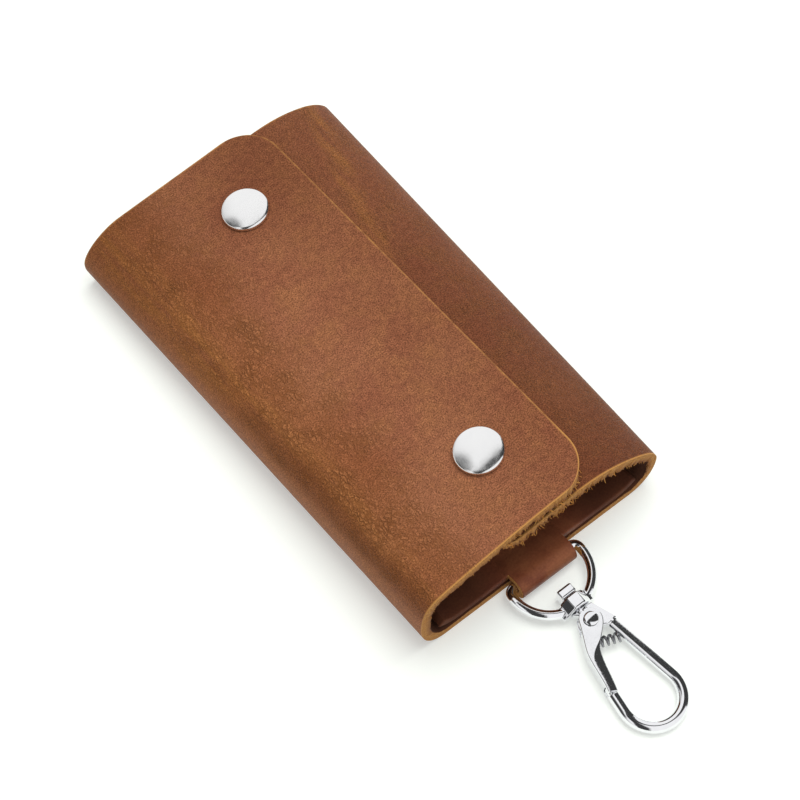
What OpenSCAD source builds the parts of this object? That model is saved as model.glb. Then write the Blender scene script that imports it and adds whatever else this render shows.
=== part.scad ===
// Leather key case with a swivel snap clip. One leather blank is folded from both sides round
// an inner panel and closed by two snaps, a row of swivelling key hooks lies inside its mouth,
// and a tab of the inner panel holds the ring of the clip.
// The case lies on its back. +X runs along it to the clip, +Z is up, and the origin is at the
// middle of the back's outer face. The front flap's fold is at -Y and the under flap's at +Y.

/* [Case] */
// Length of the case along its folds
case_length = 115; // [100:1:130]
// Thickness of the outer leather
leather = 2.2; // [1.8:0.1:2.5]
// How far each flap's free edge passes the middle of the case
flap_reach = 13; // [10:0.5:16]
// Corner radius of the front flap
front_corner = 9; // [5:0.5:11]
// Corner radius of the under flap
under_corner = 6; // [4:0.5:9]

/* [Clip end of the case] */
// Half the width of the folded case
near_half_width = 31.4; // [30:0.2:34]
// Width of the lower quarter of a fold
near_foot = 6.5; // [5:0.5:8]
// Height of the front flap's fold line
near_front_fold = 10.5; // [9:0.5:12]
// Height of the under flap's fold line
near_under_fold = 8.5; // [7:0.5:10]
// How far in from the fold the front flap turns level
near_shoulder_in = 5.4; // [4:0.2:8]
// Height of the front flap where it turns level
near_shoulder_up = 21.2; // [19:0.2:24]
// Slope of the front flap where it turns level
near_shoulder_slope = 15; // [5:1:20]
// Height of the front flap's free edge
near_edge_up = 27.5; // [25:0.5:30]
// Slope of the front flap at its free edge
near_edge_slope = 2; // [0:1:8]
// How far in from the fold the under flap leaves its curve
near_rise_in = 7.4; // [6:0.2:9]
// Height of the under flap where it leaves its curve
near_rise_up = 17.8; // [16:0.2:19]
// Slope of the under flap where it leaves its curve
near_rise_slope = 32; // [20:1:38]

/* [Far end of the case] */
// Half the width of the folded case
far_half_width = 34.1; // [32:0.1:37]
// Width of the lower quarter of a fold
far_foot = 6; // [5:0.5:8]
// Height of the front flap's fold line
far_front_fold = 6.8; // [6:0.2:8]
// Height of the under flap's fold line
far_under_fold = 6; // [5.5:0.1:7]
// How far in from the fold the front flap turns level
far_shoulder_in = 10.5; // [8:0.5:13]
// Height of the front flap where it turns level
far_shoulder_up = 16; // [15:0.2:18]
// Slope of the front flap where it turns level
far_shoulder_slope = 7; // [4:1:12]
// Height of the front flap's free edge
far_edge_up = 20.5; // [19:0.5:23]
// Slope of the front flap at its free edge
far_edge_slope = 8; // [2:1:12]
// How far in from the fold the under flap leaves its curve
far_rise_in = 7.5; // [6:0.5:9]
// Height of the under flap where it leaves its curve
far_rise_up = 14.2; // [13:0.2:15]
// Slope of the under flap where it leaves its curve
far_rise_slope = 20; // [12:1:26]

/* [Inner panel and tab] */
// Thickness of the inner panel
panel_leather = 2; // [1.6:0.1:2.2]
// Half the flat width of the inner panel
panel_flat = 21; // [20:0.5:22]
// Radius of the panel's upturned sides
panel_curl = 8; // [7:0.5:9]
// How far the far edge of the panel stays inside the case
panel_inset = 1.5; // [1:0.5:4]
// Width of the tab that holds the ring
tab_width = 14.6; // [12:0.2:15]
// Offset of the tab, the ring and the clip from the middle of the case
tab_offset = 1.3; // [0:0.1:3]
// Distance of the ring's bar from the mouth of the case
bar_out = 2; // [1.6:0.1:2.6]
// Height of the ring's bar
bar_up = 3; // [2.9:0.1:3.4]
// Thickness of the leather where it is bent round the bar
loop_leather = 1.6; // [1.3:0.1:1.8]

/* [Swivel ring] */
// Diameter of the ring's wire
ring_wire = 2.2; // [2:0.1:2.3]
// Radius of the ring's round end, to the middle of the wire
ring_radius = 9.1; // [9:0.1:9.6]
// Radius of the ring's corners, to the middle of the wire
ring_corner = 1.6; // [1.4:0.1:1.7]
// Distance from the bar to the centre of the ring's round end
ring_leg = 1.8; // [1.7:0.1:3]
// Diameter of the boss that the clip turns in
boss_diameter = 4.8; // [4.4:0.1:5]
// Length of the boss
boss_length = 2.5; // [2.4:0.1:3]
// Diameter of the clip's shank
shank_diameter = 2.1; // [1.8:0.1:2.4]
// Diameter of the shank's peened head
peen_diameter = 3.6; // [3:0.1:3.8]
// Length of the shank's peened head
peen_length = 2.4; // [1.5:0.1:2.5]

/* [Clip] */
// Diameter of the clip's bar
bar_diameter = 2.5; // [2.3:0.1:2.6]
// Length of the neck between the boss and the clip's head
neck_length = 1.1; // [1:0.1:1.4]
// Diameter of that neck
neck_diameter = 2.2; // [2.1:0.05:2.3]
// Distance from the neck to the gate's rivet
rivet_in = 1.7; // [1.7:0.1:2.2]
// Thickness of the clip's head
head_thickness = 2.2; // [2:0.1:2.3]
// Half the width of the clip's head at the neck
head_half_width = 2.4; // [2.1:0.1:2.5]
// Radius of the clip's head round the rivet
head_radius = 2.3; // [2.1:0.1:2.4]
// Distance from the rivet to the root of the bar
bar_root_along = 2.9; // [2.8:0.1:3.2]
// Offset of the root of the bar
bar_root_side = 3.45; // [3.2:0.05:3.6]
// Distance from the rivet to the centre of the clip's round end
bow_along = 19.4; // [18.4:0.2:22]
// Offset of the centre of the clip's round end
bow_offset = 0.8; // [0:0.1:1]
// Radius of the clip's round end, to the middle of the bar
bow_radius = 6.45; // [6.2:0.05:6.6]
// Offset of the nose that the gate closes on
nose_side = 6.6; // [6.5:0.05:6.7]
// Distance from the rivet to the tip of the gate
gate_reach = 15.8; // [15:0.1:17]
// Radius of the gate's head
gate_head_radius = 2.5; // [2.4:0.1:2.6]
// Distance from the rivet to the bend of the gate
gate_bend_along = 5.7; // [5.2:0.1:6.2]
// Offset of the bend of the gate
gate_bend_side = 4.1; // [3.8:0.05:4.2]
// Half the width of the gate at its bend
gate_bend_radius = 1.5; // [1.4:0.1:1.6]
// Half the width of the gate at its tip
gate_tip_radius = 1.05; // [1:0.05:1.15]
// Thickness of the gate's sheet metal
gate_sheet = 0.5; // [0.4:0.05:0.6]
// Diameter of the rivet's shank
rivet_diameter = 1.7; // [1.4:0.1:1.9]
// Diameter of the rivet's heads
rivet_head = 3.1; // [2.8:0.1:3.4]
// Height of the rivet's heads
rivet_dome = 0.45; // [0.3:0.05:0.5]

/* [Gate spring] */
// Diameter of the spring's wire
spring_wire = 0.42; // [0.36:0.02:0.42]
// Outer diameter of the spring
spring_diameter = 2.2; // [2:0.05:2.25]
// Length of the spring
spring_length = 6.6; // [6.4:0.1:6.7]
// Number of coils
spring_coils = 5; // [4:1:5]
// Distance from the rivet to the spring's seat on the bar
spring_along = 6.2; // [6.1:0.1:6.5]
// Lean of the spring
spring_lean = 22; // [20:1:24]

/* [Snaps] */
// Distance of each snap from its end of the case
snap_in = 18.2; // [15:0.2:24]
// Offset of the snaps from the middle of the case
snap_offset = 2.2; // [0:0.2:4]
// Diameter of a snap's cap
cap_diameter = 10.6; // [9:0.2:12]
// Height of a snap's cap
cap_height = 2.1; // [1.6:0.1:2.6]
// Diameter of the cap's hollow post
cap_post = 3.2; // [2.8:0.1:3.6]
// Diameter of a snap's socket
socket_diameter = 9.2; // [8.4:0.2:10]
// Height of a snap's socket
socket_height = 1.2; // [1.1:0.1:1.3]
// Diameter of the hollow in the socket
socket_bore = 5.8; // [5.6:0.1:6.4]
// Diameter of the stud's head
stud_head = 4; // [3.6:0.1:4.1]
// How far the stud's head reaches into the socket
stud_grip = 0.4; // [0.2:0.05:0.45]
// Diameter of the stud's base
stud_base = 8.2; // [7.4:0.2:9]
// Diameter of the eyelet that holds the stud
eyelet_diameter = 8.6; // [7.6:0.2:9.4]
// Diameter of the eyelet's post
eyelet_post = 2.6; // [2.2:0.1:2.8]
// Thickness of the snaps' stamped brass
snap_sheet = 0.4; // [0.3:0.05:0.45]

/* [Key row] */
// Distance of the key row's plate from the mouth of the case
rack_in = 10.5; // [10:0.5:14]
// How far each end of the plate reaches over the panel's upturned side
rack_over = 0.5; // [0:0.1:0.5]
// Width of the plate
rack_width = 8; // [7:0.5:9]
// Thickness of the plate
rack_sheet = 0.8; // [0.6:0.1:1]
// Height of the hooks' axes over the plate's underside
hook_axis_up = 4; // [3.8:0.1:4.2]
// Height of the plate's upright lip
rack_lip = 6.2; // [5.8:0.1:6.4]
// Number of key hooks
hook_count = 6; // [4:1:6]
// Distance of the outer hooks from the ends of the plate
hook_in = 2.5; // [2:0.1:3]
// Gap between the hooks' blocks
block_gap = 1; // [0.8:0.1:1.2]
// Thickness of a hook's block
block_thickness = 2.3; // [2:0.1:2.5]
// Length of a hook's block
block_length = 4; // [3.5:0.1:4.5]
// Diameter of the hook's wire
hook_wire = 1.1; // [0.9:0.1:1.2]
// Length of the hook's straight legs outside its block
hook_reach = 16; // [12:0.5:18]
// Diameter of the plate's rivets
rack_rivet = 2.4; // [2:0.1:2.6]
// Diameter of those rivets' heads
rack_rivet_head = 5; // [4.4:0.1:5.4]
// Height of those rivets' heads
rack_rivet_dome = 0.9; // [0.6:0.1:1.2]
// Thickness of the flat heads that are set flush in the back
rack_rivet_flat = 0.5; // [0.4:0.05:0.6]
// Distance of the rivets from the ends of the plate
rack_rivet_in = 3.6; // [3.2:0.1:4]

/* [Hidden] */
$fn = 48;

// Overrun of a cut past the face that it opens
over = 0.5;
// Gap between the two sides of a fold line
fold_gap = 0.2;
// Gap that a piece of one body keeps from what it is fastened to
seat = 0.05;
// Gap under a flat metal piece on curved leather
leather_seat = 0.12;
// Radial clearance of the ring's bar in its leather loop
loop_clearance = 0.1;
// Radial clearance of turning metal pins
pin_clearance = 0.07;
// Gap between metal faces that turn or slide on each other
face_gap = 0.12;
// Gap between the socket's face and the stud's base
snap_gap = 0.3;
// Gap under the inner panel
panel_gap = 0.25;
// Height that the clip's round end keeps over the table
rest_gap = 0.05;
// Bulge of the folds, as a share of the quarter that it rounds
near_round_share = 0.7;
far_round_share = 0.45;
foot_round_share = 0.6;
rise_round_share = 0.45;
lap_round_share = 0.4;
// Where the under flap runs level with the front flap, as a share of the flap's reach
lap_start_share = 0.35;
// Steps of the leather's outline and of its rounded corners
fold_steps = 8;
flap_steps = 10;
corner_steps = 6;
curl_steps = 6;
// Upturn of the panel's sides
curl_angle = 45;
// Straight start and end of each hook's wire in its block, as a share of the block's length
wire_hold_share = 0.6;
// Diameter of a hook's neck and head
hook_neck = 1.8;
hook_head = 3.2;
hook_head_length = 0.8;
// Wall of the leather loop's mouth: how far the top strand starts inside the case
strand_start = 3;
// How far a straight part of the clip's bar runs into its bow, and how much thinner it is
weld_lap = 0.3;
weld_step = 0.04;
// Steps of the gate's rounded ends, and its width before the bend as a share of that at the bend
round_steps = 16;
bend_share = 0.9;
// Tongue of the nose between the gate's cheeks
tongue_diameter = 1.8;
tongue_length = 1.6;
// Height of the rolled rim of a snap's cap
cap_rim_height = 0.35;
// Steps of the spring's wire
coil_steps = 8;
wire_sides = 6;

near_x = case_length / 2;
tab_side = -tab_offset;
snap_side = -snap_offset;
bow_side = -bow_offset;
mouth_z = leather + panel_gap;
panel_top = mouth_z + panel_leather;
lap_gap = leather_seat + socket_height + snap_gap + snap_sheet + leather_seat;

// Straight change from the far end to the clip end
function between(x, far, near) = far + (near - far) * (0.5 + x / case_length);
function half_width(x) = between(x, far_half_width, near_half_width);
function foot(x) = between(x, far_foot, near_foot);
function front_fold(x) = between(x, far_front_fold, near_front_fold);
function under_fold(x) = between(x, far_under_fold, near_under_fold);
function unit(v) = v / norm(v);
function way(angle) = [cos(angle), sin(angle)];

// A point, and the direction there, on a curve with two ends and two handles
function curve(p, s) = p[0] * pow(1 - s, 3) + 3 * p[1] * s * pow(1 - s, 2)
    + 3 * p[2] * s * s * (1 - s) + p[3] * pow(s, 3);
function curve_way(p, s) = unit((p[1] - p[0]) * pow(1 - s, 2)
    + 2 * (p[2] - p[1]) * s * (1 - s) + (p[3] - p[2]) * s * s);
function stretch(p, from, to, steps, first = 0) =
    [for (k = [first:steps]) let (s = from + (to - from) * k / steps) [curve(p, s), curve_way(p, s)]];
function mirrored(rows) = [for (r = rows) [[-r[0][0], r[0][1]], [-r[1][0], r[1][1]]]];
function reversed(rows) = [for (k = [len(rows) - 1:-1:0]) [rows[k][0], -rows[k][1]]];

// The lower quarter of a fold, from the flat back out to the fold line
function foot_curve(x, fold) =
    let (w = half_width(x), f = foot(x), up = fold - fold_gap / 2)
    [[w - f, 0], [w - f + f * foot_round_share, 0], [w, up * (1 - foot_round_share)], [w, up]];

// The front flap in cross-section: its curve from the fold line, then its top
function shoulder(x) = [
    between(x, far_shoulder_in, near_shoulder_in) - half_width(x),
    between(x, far_shoulder_up, near_shoulder_up)
];
function shoulder_slope(x) = between(x, far_shoulder_slope, near_shoulder_slope);
function front_curve(x) =
    let (w = half_width(x), low = front_fold(x) + fold_gap / 2, end = shoulder(x))
    let (round_share = between(x, far_round_share, near_round_share))
    let (back = way(shoulder_slope(x)) * (end[0] + w) * round_share)
    [[-w, low], [-w, low + (end[1] - low) * round_share], end - back, end];
function front_top(x) =
    let (start = shoulder(x), end = [flap_reach, between(x, far_edge_up, near_edge_up)])
    let (third = (end[0] - start[0]) / 3, slope = between(x, far_edge_slope, near_edge_slope))
    [start, start + [third, third * tan(shoulder_slope(x))], end - [third, third * tan(slope)], end];
// The share of the flap's top at a distance y across the case
function top_share(x, y) = (y - shoulder(x)[0]) / (flap_reach - shoulder(x)[0]);

// What a rounded corner takes off a flap's edge at x
function corner_loss(x, radius) =
    let (into = radius - near_x + abs(x))
    into <= 0 ? 0 : radius - sqrt(max(0, radius * radius - into * into));
function front_rows(x) = concat(
    stretch(front_curve(x), 0, 1, fold_steps),
    stretch(front_top(x), 0, top_share(x, flap_reach - corner_loss(x, front_corner)), flap_steps, 1)
);

// The under flap lies below the front flap by one leather and the snaps' height
function lap_point(x, y) =
    let (s = top_share(x, y), way = curve_way(front_top(x), s))
    [curve(front_top(x), s) + (leather + lap_gap) * [way[1], -way[0]], -way];
function rise(x) = [
    half_width(x) - between(x, far_rise_in, near_rise_in),
    between(x, far_rise_up, near_rise_up)
];
function rise_way(x) = way(180 - between(x, far_rise_slope, near_rise_slope));
function under_curve(x) =
    let (w = half_width(x), low = under_fold(x) + fold_gap / 2, end = rise(x))
    [
        [w, low],
        [w, low + (end[1] - low) * rise_round_share],
        end - rise_way(x) * (w - end[0]) * rise_round_share,
        end
    ];
function lap_curve(x) =
    let (start = rise(x), end = lap_point(x, flap_reach * lap_start_share))
    let (handle = norm(end[0] - start) * lap_round_share)
    [start, start + rise_way(x) * handle, end[0] - end[1] * handle, end[0]];
function under_rows(x) =
    let (from = flap_reach * lap_start_share, to = corner_loss(x, under_corner) - flap_reach)
    concat(
        stretch(under_curve(x), 0, 1, fold_steps),
        stretch(lap_curve(x), 0, 1, fold_steps, 1),
        [for (k = [1:fold_steps]) lap_point(x, from + (to - from) * k / fold_steps)]
    );
function back_rows(x) = concat(
    mirrored(reversed(stretch(foot_curve(x, front_fold(x)), 0, 1, fold_steps))),
    stretch(foot_curve(x, under_fold(x)), 0, 1, fold_steps)
);

// Places along the case, closer together where a corner is rounded
function stations(radius) =
    let (end = [for (k = [0:corner_steps]) near_x - radius * (1 - cos(90 * k / corner_steps))])
    let (inner = near_x - radius)
    concat(
        [for (k = [corner_steps:-1:0]) near_x - radius * (1 - sin(90 * k / corner_steps))] * -1,
        [for (k = [1:2]) inner * (2 * k / 3 - 1)],
        [for (k = [0:corner_steps]) near_x - radius * (1 - sin(90 * k / corner_steps))]
    );

// Leather of even thickness swept along the case. Its outer face lies to the left of each
// row's path where side is 1, and to the right where it is -1.
module sheet(places, rows, side) {
    n = len(rows[0]);
    ring = 2 * n;
    last = len(places) - 1;
    points = [for (i = [0:last]) each concat(
        [for (r = rows[i]) [places[i], r[0][0], r[0][1]]],
        [for (k = [n - 1:-1:0]) let (p = rows[i][k][0], t = rows[i][k][1])
            [places[i], p[0] + side * leather * t[1], p[1] - side * leather * t[0]]]
    )];
    walls = [for (i = [0:last - 1], k = [0:ring - 1])
        let (a = i * ring + k, b = i * ring + (k + 1) % ring)
        each [[a, b, b + ring], [a, b + ring, a + ring]]];
    ends = [for (k = [0:n - 2]) each [
        [k, ring - 1 - k, ring - 2 - k],
        [k, ring - 2 - k, k + 1]
    ]];
    far_ends = [for (f = ends) [for (v = [2:-1:0]) f[v] + last * ring]];
    faces = concat(walls, ends, far_ends);
    polyhedron(points, side > 0 ? faces : [for (f = faces) [f[2], f[1], f[0]]], convexity = 8);
}

// Where a snap sits on the front flap's outer face, and the direction of its axis
snap_x = near_x - snap_in;
function flap_z(x) = curve(front_top(x), top_share(x, snap_side))[1];
function snap_axis(x) =
    let (t = curve_way(front_top(x), top_share(x, snap_side)))
    unit([-(flap_z(x + over) - flap_z(x - over)) / (2 * over), -t[1] / t[0], 1]);
module at_snap(x, below = 0) {
    axis = snap_axis(x);
    translate([x, snap_side, flap_z(x)] - axis * below)
        rotate([0, acos(axis[2]), atan2(axis[1], axis[0])]) children();
}
lap_depth = leather + lap_gap;

module back_panel() {
    places = stations(under_corner);
    color("#8a5735") difference() {
        sheet(places, [for (x = places) back_rows(x)], -1);
        for (side = [-1, 1]) at_rack_rivet(side) {
            translate([0, 0, -over]) cylinder(d = rack_rivet + 2 * seat, h = leather + 2 * over);
            translate([0, 0, -over]) cylinder(d = rack_rivet_head + 2 * seat, h = over + rack_rivet_flat + seat);
        }
    }
}

module front_flap() {
    places = stations(front_corner);
    color("#9a6443") difference() {
        sheet(places, [for (x = places) front_rows(x)], 1);
        for (x = [snap_x, -snap_x]) at_snap(x, leather + over)
            cylinder(d = cap_post + 2 * seat, h = leather + 2 * over);
    }
}

module under_flap() {
    places = stations(under_corner);
    color("#94603f") difference() {
        sheet(places, [for (x = places) under_rows(x)], -1);
        for (x = [snap_x, -snap_x]) at_snap(x, lap_depth + leather + over)
            cylinder(d = eyelet_post + 2 * seat, h = leather + 2 * over);
    }
}

// The inner panel: a slab with upturned sides, and a tab that loops round the ring's bar
bar_x = near_x + bar_out;
loop_bore = ring_wire / 2 + loop_clearance;
loop_radius = loop_bore + loop_leather;
function curl(radius, steps) = [for (k = [0:steps]) let (a = curl_angle * k / steps)
    [panel_flat + radius * sin(a), mouth_z + panel_curl - radius * cos(a)]];
// Where a line from p touches a circle: turn is 1 or -1 for the two sides
function touch(p, c, radius, turn) =
    let (d = p - c, lean = acos(radius / norm(d)))
    c + radius * way(atan2(d[1], d[0]) + turn * lean);
module inner_panel() {
    low = curl(panel_curl, curl_steps);
    high = curl(panel_curl - panel_leather, curl_steps);
    half = concat(low, [for (k = [curl_steps:-1:0]) high[k]]);
    far_half = [for (k = [len(half) - 1:-1:0]) [-half[k][0], half[k][1]]];
    span = case_length - panel_inset;
    bar = [bar_x, bar_up];
    top = [near_x - strand_start, panel_top];
    top_touch = touch(top, bar, loop_radius, -1);
    color("#5a3323") difference() {
        union() {
            translate([near_x - span, 0, 0]) rotate([90, 0, 90]) linear_extrude(span)
                polygon(concat(half, far_half));
            translate([0, tab_side + tab_width / 2, 0]) rotate([90, 0, 0]) linear_extrude(tab_width)
                difference() {
                    union() {
                        translate(bar) circle(loop_radius);
                        polygon([top, top_touch, bar, [bar_x, mouth_z], [near_x - strand_start, mouth_z]]);
                    }
                    translate([near_x - loop_radius, -loop_radius])
                        square([loop_radius + loop_seat, loop_radius + mouth_z]);
                }
        }
        translate([bar_x, tab_side - tab_width / 2 - over, bar_up]) rotate([-90, 0, 0])
            cylinder(r = loop_bore, h = tab_width + 2 * over);
        for (side = [-1, 1]) at_rack_rivet(side)
            translate([0, 0, leather]) cylinder(d = rack_rivet + 2 * seat, h = panel_top);
    }
}
// Gap between the leather loop and the back's edge
loop_seat = 0.25;

// Snaps: the cap's post passes the front flap and is flared in the socket's hollow
module cap() {
    sphere_radius = (pow(cap_diameter / 2, 2) + pow(cap_height - cap_rim_height, 2)) / (2 * (cap_height - cap_rim_height));
    web = leather + leather_seat + snap_sheet;
    color("#d9d9dc") translate([0, 0, leather_seat]) {
        translate([0, 0, cap_rim_height]) intersection() {
            translate([0, 0, cap_height - cap_rim_height - sphere_radius]) sphere(sphere_radius, $fn = 96);
            cylinder(d = cap_diameter, h = cap_height);
        }
        cylinder(d = cap_diameter, h = cap_rim_height);
    }
    color("#c8b27a") translate([0, 0, -web - snap_sheet]) {
        cylinder(d = cap_post, h = web + snap_sheet + leather_seat);
        cylinder(d = cap_post + 2 * snap_sheet, h = snap_sheet - seat);
    }
}
module snap_cap(x) { at_snap(x) cap(); }

module snap_socket(x) {
    web = snap_sheet;
    color("#c9c6be") at_snap(x, leather + leather_seat + socket_height) difference() {
        cylinder(d = socket_diameter, h = socket_height);
        translate([0, 0, -over]) cylinder(d = socket_bore, h = over + socket_height - web);
        cylinder(d = cap_post + 2 * seat, h = socket_height + over);
    }
}

module snap_stud(x) {
    head_up = snap_sheet + snap_gap + stud_grip;
    color("#c9c6be") at_snap(x, lap_depth - leather_seat) difference() {
        union() {
            cylinder(d = stud_base, h = snap_sheet);
            cylinder(d = stud_head, h = head_up - snap_sheet / 2);
            cylinder(d = stud_head - snap_sheet, h = head_up);
        }
        translate([0, 0, -over]) cylinder(d = eyelet_post + 2 * seat, h = over + head_up - snap_sheet);
    }
}

module snap_eyelet(x) {
    color("#c8b27a") at_snap(x, lap_depth + leather + leather_seat + snap_sheet) {
        cylinder(d = eyelet_diameter, h = snap_sheet);
        cylinder(d = eyelet_post, h = leather + 2 * leather_seat + 2 * snap_sheet);
    }
}

// The ring and the clip lie in one plane that slopes from the bar to the table
boss_at = ring_leg + ring_radius;
head_at = boss_at + boss_length / 2 + face_gap + neck_length;
rivet_at = head_at + rivet_in;
clip_end = rivet_at + bow_along + bow_radius;
clip_slope = asin((bar_up - bar_diameter / 2 - rest_gap) / clip_end);
module in_clip() {
    translate([bar_x, tab_side, bar_up]) rotate([0, clip_slope, 0]) children();
}
module along_x(from, length, diameter) {
    translate([from, 0, 0]) rotate([0, 90, 0]) cylinder(d = diameter, h = length);
}
// A round bar from p to q in the clip's plane
module bar(p, q, diameter) {
    d = q - p;
    translate(p) rotate([0, 90, atan2(d[1], d[0])]) cylinder(d = diameter, h = norm(d));
}
// Part of a ring of round wire in the clip's plane, from one angle on through a turn
module bend(centre, radius, from, turn, diameter) {
    translate(centre) rotate(from) rotate_extrude(angle = turn) translate([radius, 0]) circle(d = diameter);
}

module swivel_ring() {
    reach = ring_radius - ring_corner;
    color("#cfd0d4") in_clip() difference() {
        union() {
            bar([0, -reach], [0, reach], ring_wire);
            for (side = [-1, 1]) {
                bend([ring_corner, side * reach], ring_corner, side > 0 ? 90 : 180, 90, ring_wire);
                if (ring_leg > ring_corner)
                    bar([ring_corner, side * ring_radius], [ring_leg, side * ring_radius], ring_wire);
            }
            bend([ring_leg, 0], ring_radius, -90, 180, ring_wire);
            along_x(boss_at - boss_length / 2, boss_length, boss_diameter);
        }
        along_x(boss_at - boss_length / 2 - over, boss_length + 2 * over, shank_diameter + 2 * pin_clearance);
    }
}

// The clip's body: peened shank, flat head, a bar bent to a bow, and the nose with its tongue
rivet = [rivet_at, 0];
bar_root = rivet + [bar_root_along, bar_root_side];
bow = rivet + [bow_along, bow_side];
bar_touch = touch(bar_root, bow, bow_radius, -1);
bow_start = atan2(bar_touch[1] - bow[1], bar_touch[0] - bow[0]);
nose_start = [rivet_at + sqrt(gate_reach * gate_reach - nose_side * nose_side), -nose_side];
nose_touch = touch(nose_start, bow, bow_radius, 1);
nose_end = atan2(nose_touch[1] - bow[1], nose_touch[0] - bow[0]);
nose_way = unit(nose_touch - nose_start);
arm_diameter = bar_diameter - weld_step;
module clip_hook() {
    run = unit(bar_touch - bar_root);
    across = bar_diameter / 2 * [-run[1], run[0]];
    shank_from = boss_at - boss_length / 2 - face_gap;
    color("#d2d3d7") in_clip() difference() {
        union() {
            along_x(shank_from - peen_length, peen_length, peen_diameter);
            along_x(shank_from - peen_length / 2, head_at - shank_from + peen_length, shank_diameter);
            along_x(head_at - neck_length, neck_length + seat, neck_diameter);
            translate([0, 0, -head_thickness / 2]) linear_extrude(head_thickness) {
                polygon([[head_at, -head_half_width], [head_at, head_half_width], bar_root + across, bar_root - across, rivet]);
                translate(rivet) circle(head_radius);
            }
            bar(bar_root - run * bar_diameter / 2, bar_touch + run * weld_lap, arm_diameter);
            bend(bow, bow_radius, nose_end, bow_start - nose_end, bar_diameter);
            difference() {
                bar(nose_start - nose_way * bar_diameter, nose_touch + nose_way * weld_lap, arm_diameter);
                translate([rivet[0], rivet[1], -bar_diameter])
                    cylinder(r = gate_reach + face_gap, h = 2 * bar_diameter, $fn = 96);
            }
            bar(nose_start - nose_way * tongue_length, nose_start + nose_way * tongue_length, tongue_diameter);
        }
        translate([rivet[0], rivet[1], -head_thickness])
            cylinder(d = rivet_diameter + 2 * seat, h = 2 * head_thickness);
    }
}

// A flat shape that tapers from one round end to another
module taper(p, r, q, s) {
    d = q - p;
    lean = acos((r - s) / norm(d));
    aim = atan2(d[1], d[0]);
    polygon(concat(
        [for (k = [0:round_steps]) p + r * way(aim + lean + (360 - 2 * lean) * k / round_steps)],
        [for (k = [0:round_steps]) q + s * way(aim - lean + 2 * lean * k / round_steps)]
    ));
}
gate_bend = rivet + [gate_bend_along, -gate_bend_side];
gate_tip = nose_start;
gate_inner = head_thickness + 2 * face_gap;
gate_height = gate_inner + 2 * gate_sheet;
module gate_outline() {
    intersection() {
        union() {
            taper(rivet, gate_head_radius, gate_bend, gate_bend_radius * bend_share);
            taper(gate_bend, gate_bend_radius, gate_tip, gate_tip_radius);
        }
        translate(rivet) circle(gate_reach, $fn = 96);
    }
}
module clip_gate() {
    color("#d6d7da") in_clip() difference() {
        translate([0, 0, -gate_height / 2]) linear_extrude(gate_height) gate_outline();
        translate([0, 0, -gate_inner / 2]) linear_extrude(gate_inner) {
            translate(gate_sheet * way(90 - spring_lean)) {
                taper(rivet, gate_head_radius, gate_bend, gate_bend_radius * bend_share);
                taper(gate_bend, gate_bend_radius, gate_tip, gate_tip_radius);
            }
            translate(rivet) circle(gate_head_radius + over);
            translate(gate_tip) circle(tongue_length + over);
        }
        translate([rivet[0], rivet[1], -gate_height])
            cylinder(d = rivet_diameter + 2 * pin_clearance, h = 2 * gate_height);
    }
}

module gate_rivet() {
    dome_radius = (pow(rivet_head / 2, 2) + pow(rivet_dome, 2)) / (2 * rivet_dome);
    color("#c4c5c9") in_clip() translate([rivet[0], rivet[1], 0]) {
        cylinder(d = rivet_diameter, h = gate_height + 2 * face_gap, center = true);
        for (side = [0, 1]) mirror([0, 0, side]) translate([0, 0, gate_height / 2 + face_gap]) intersection() {
            translate([0, 0, rivet_dome - dome_radius]) sphere(dome_radius, $fn = 96);
            cylinder(d = rivet_head, h = rivet_dome);
        }
    }
}

// The gate's spring: one wire that starts and ends straight along the spring's axis and winds
// at a steady pitch between, from its seat on the bar to the gate's spine
coil_radius = (spring_diameter - spring_wire) / 2;
spring_inner = spring_length - 2 * spring_wire;
spring_points = spring_coils * coil_steps + 2 * coil_steps;
function ease(s) = let (c = min(max(s, 0), 1)) c * c * (3 - 2 * c);
// How fast the wire winds at each step: nothing in the straight ends, then eased in
function wind(i) = ease(min(i - 1, spring_points - 1 - i) / (coil_steps / 2));
wind_sum = [for (i = 0, sum = 0; i <= spring_points; sum = sum + wind(i), i = i + 1) sum];
spring_path = [for (i = [0:spring_points])
    let (turn = 360 * spring_coils * wind_sum[i] / wind_sum[spring_points])
    [coil_radius * cos(turn), coil_radius * sin(turn), spring_rise(i)]];
// Height along the spring: the straight ends are one wire diameter long
function spring_rise(i) = i <= 1 ? i * spring_wire
    : i >= spring_points - 1 ? spring_length - (spring_points - i) * spring_wire
    : spring_wire + spring_inner * (i - 1) / (spring_points - 2);
function spring_ring(i) =
    let (a = spring_path[max(i - 1, 0)], b = spring_path[min(i + 1, spring_points)])
    let (along = i == 0 || i == spring_points ? [0, 0, 1] : unit(b - a))
    let (out = unit([spring_path[i][0], spring_path[i][1], 0]), side = unit(cross(along, out)))
    let (up = cross(side, along))
    [for (k = [0:wire_sides - 1]) spring_path[i] + spring_wire / 2 * (cos(360 * k / wire_sides) * up
        + sin(360 * k / wire_sides) * side)];
half_turn = wind_sum[spring_points] / spring_coils / 2;
spring_self_gap = min([for (i = [0:spring_points], j = [i:spring_points])
    if (wind_sum[j] - wind_sum[i] > half_turn) norm(spring_path[i] - spring_path[j])]) - spring_wire;
echo(spring_self_gap_mm = spring_self_gap);
bar_lean = atan2(bar_touch[1] - bar_root[1], bar_touch[0] - bar_root[0]);
spring_seat = [rivet_at + spring_along,
    bar_root[1] + (spring_along - bar_root_along) * tan(bar_lean) - bar_diameter / 2 / cos(bar_lean) - seat];
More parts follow.
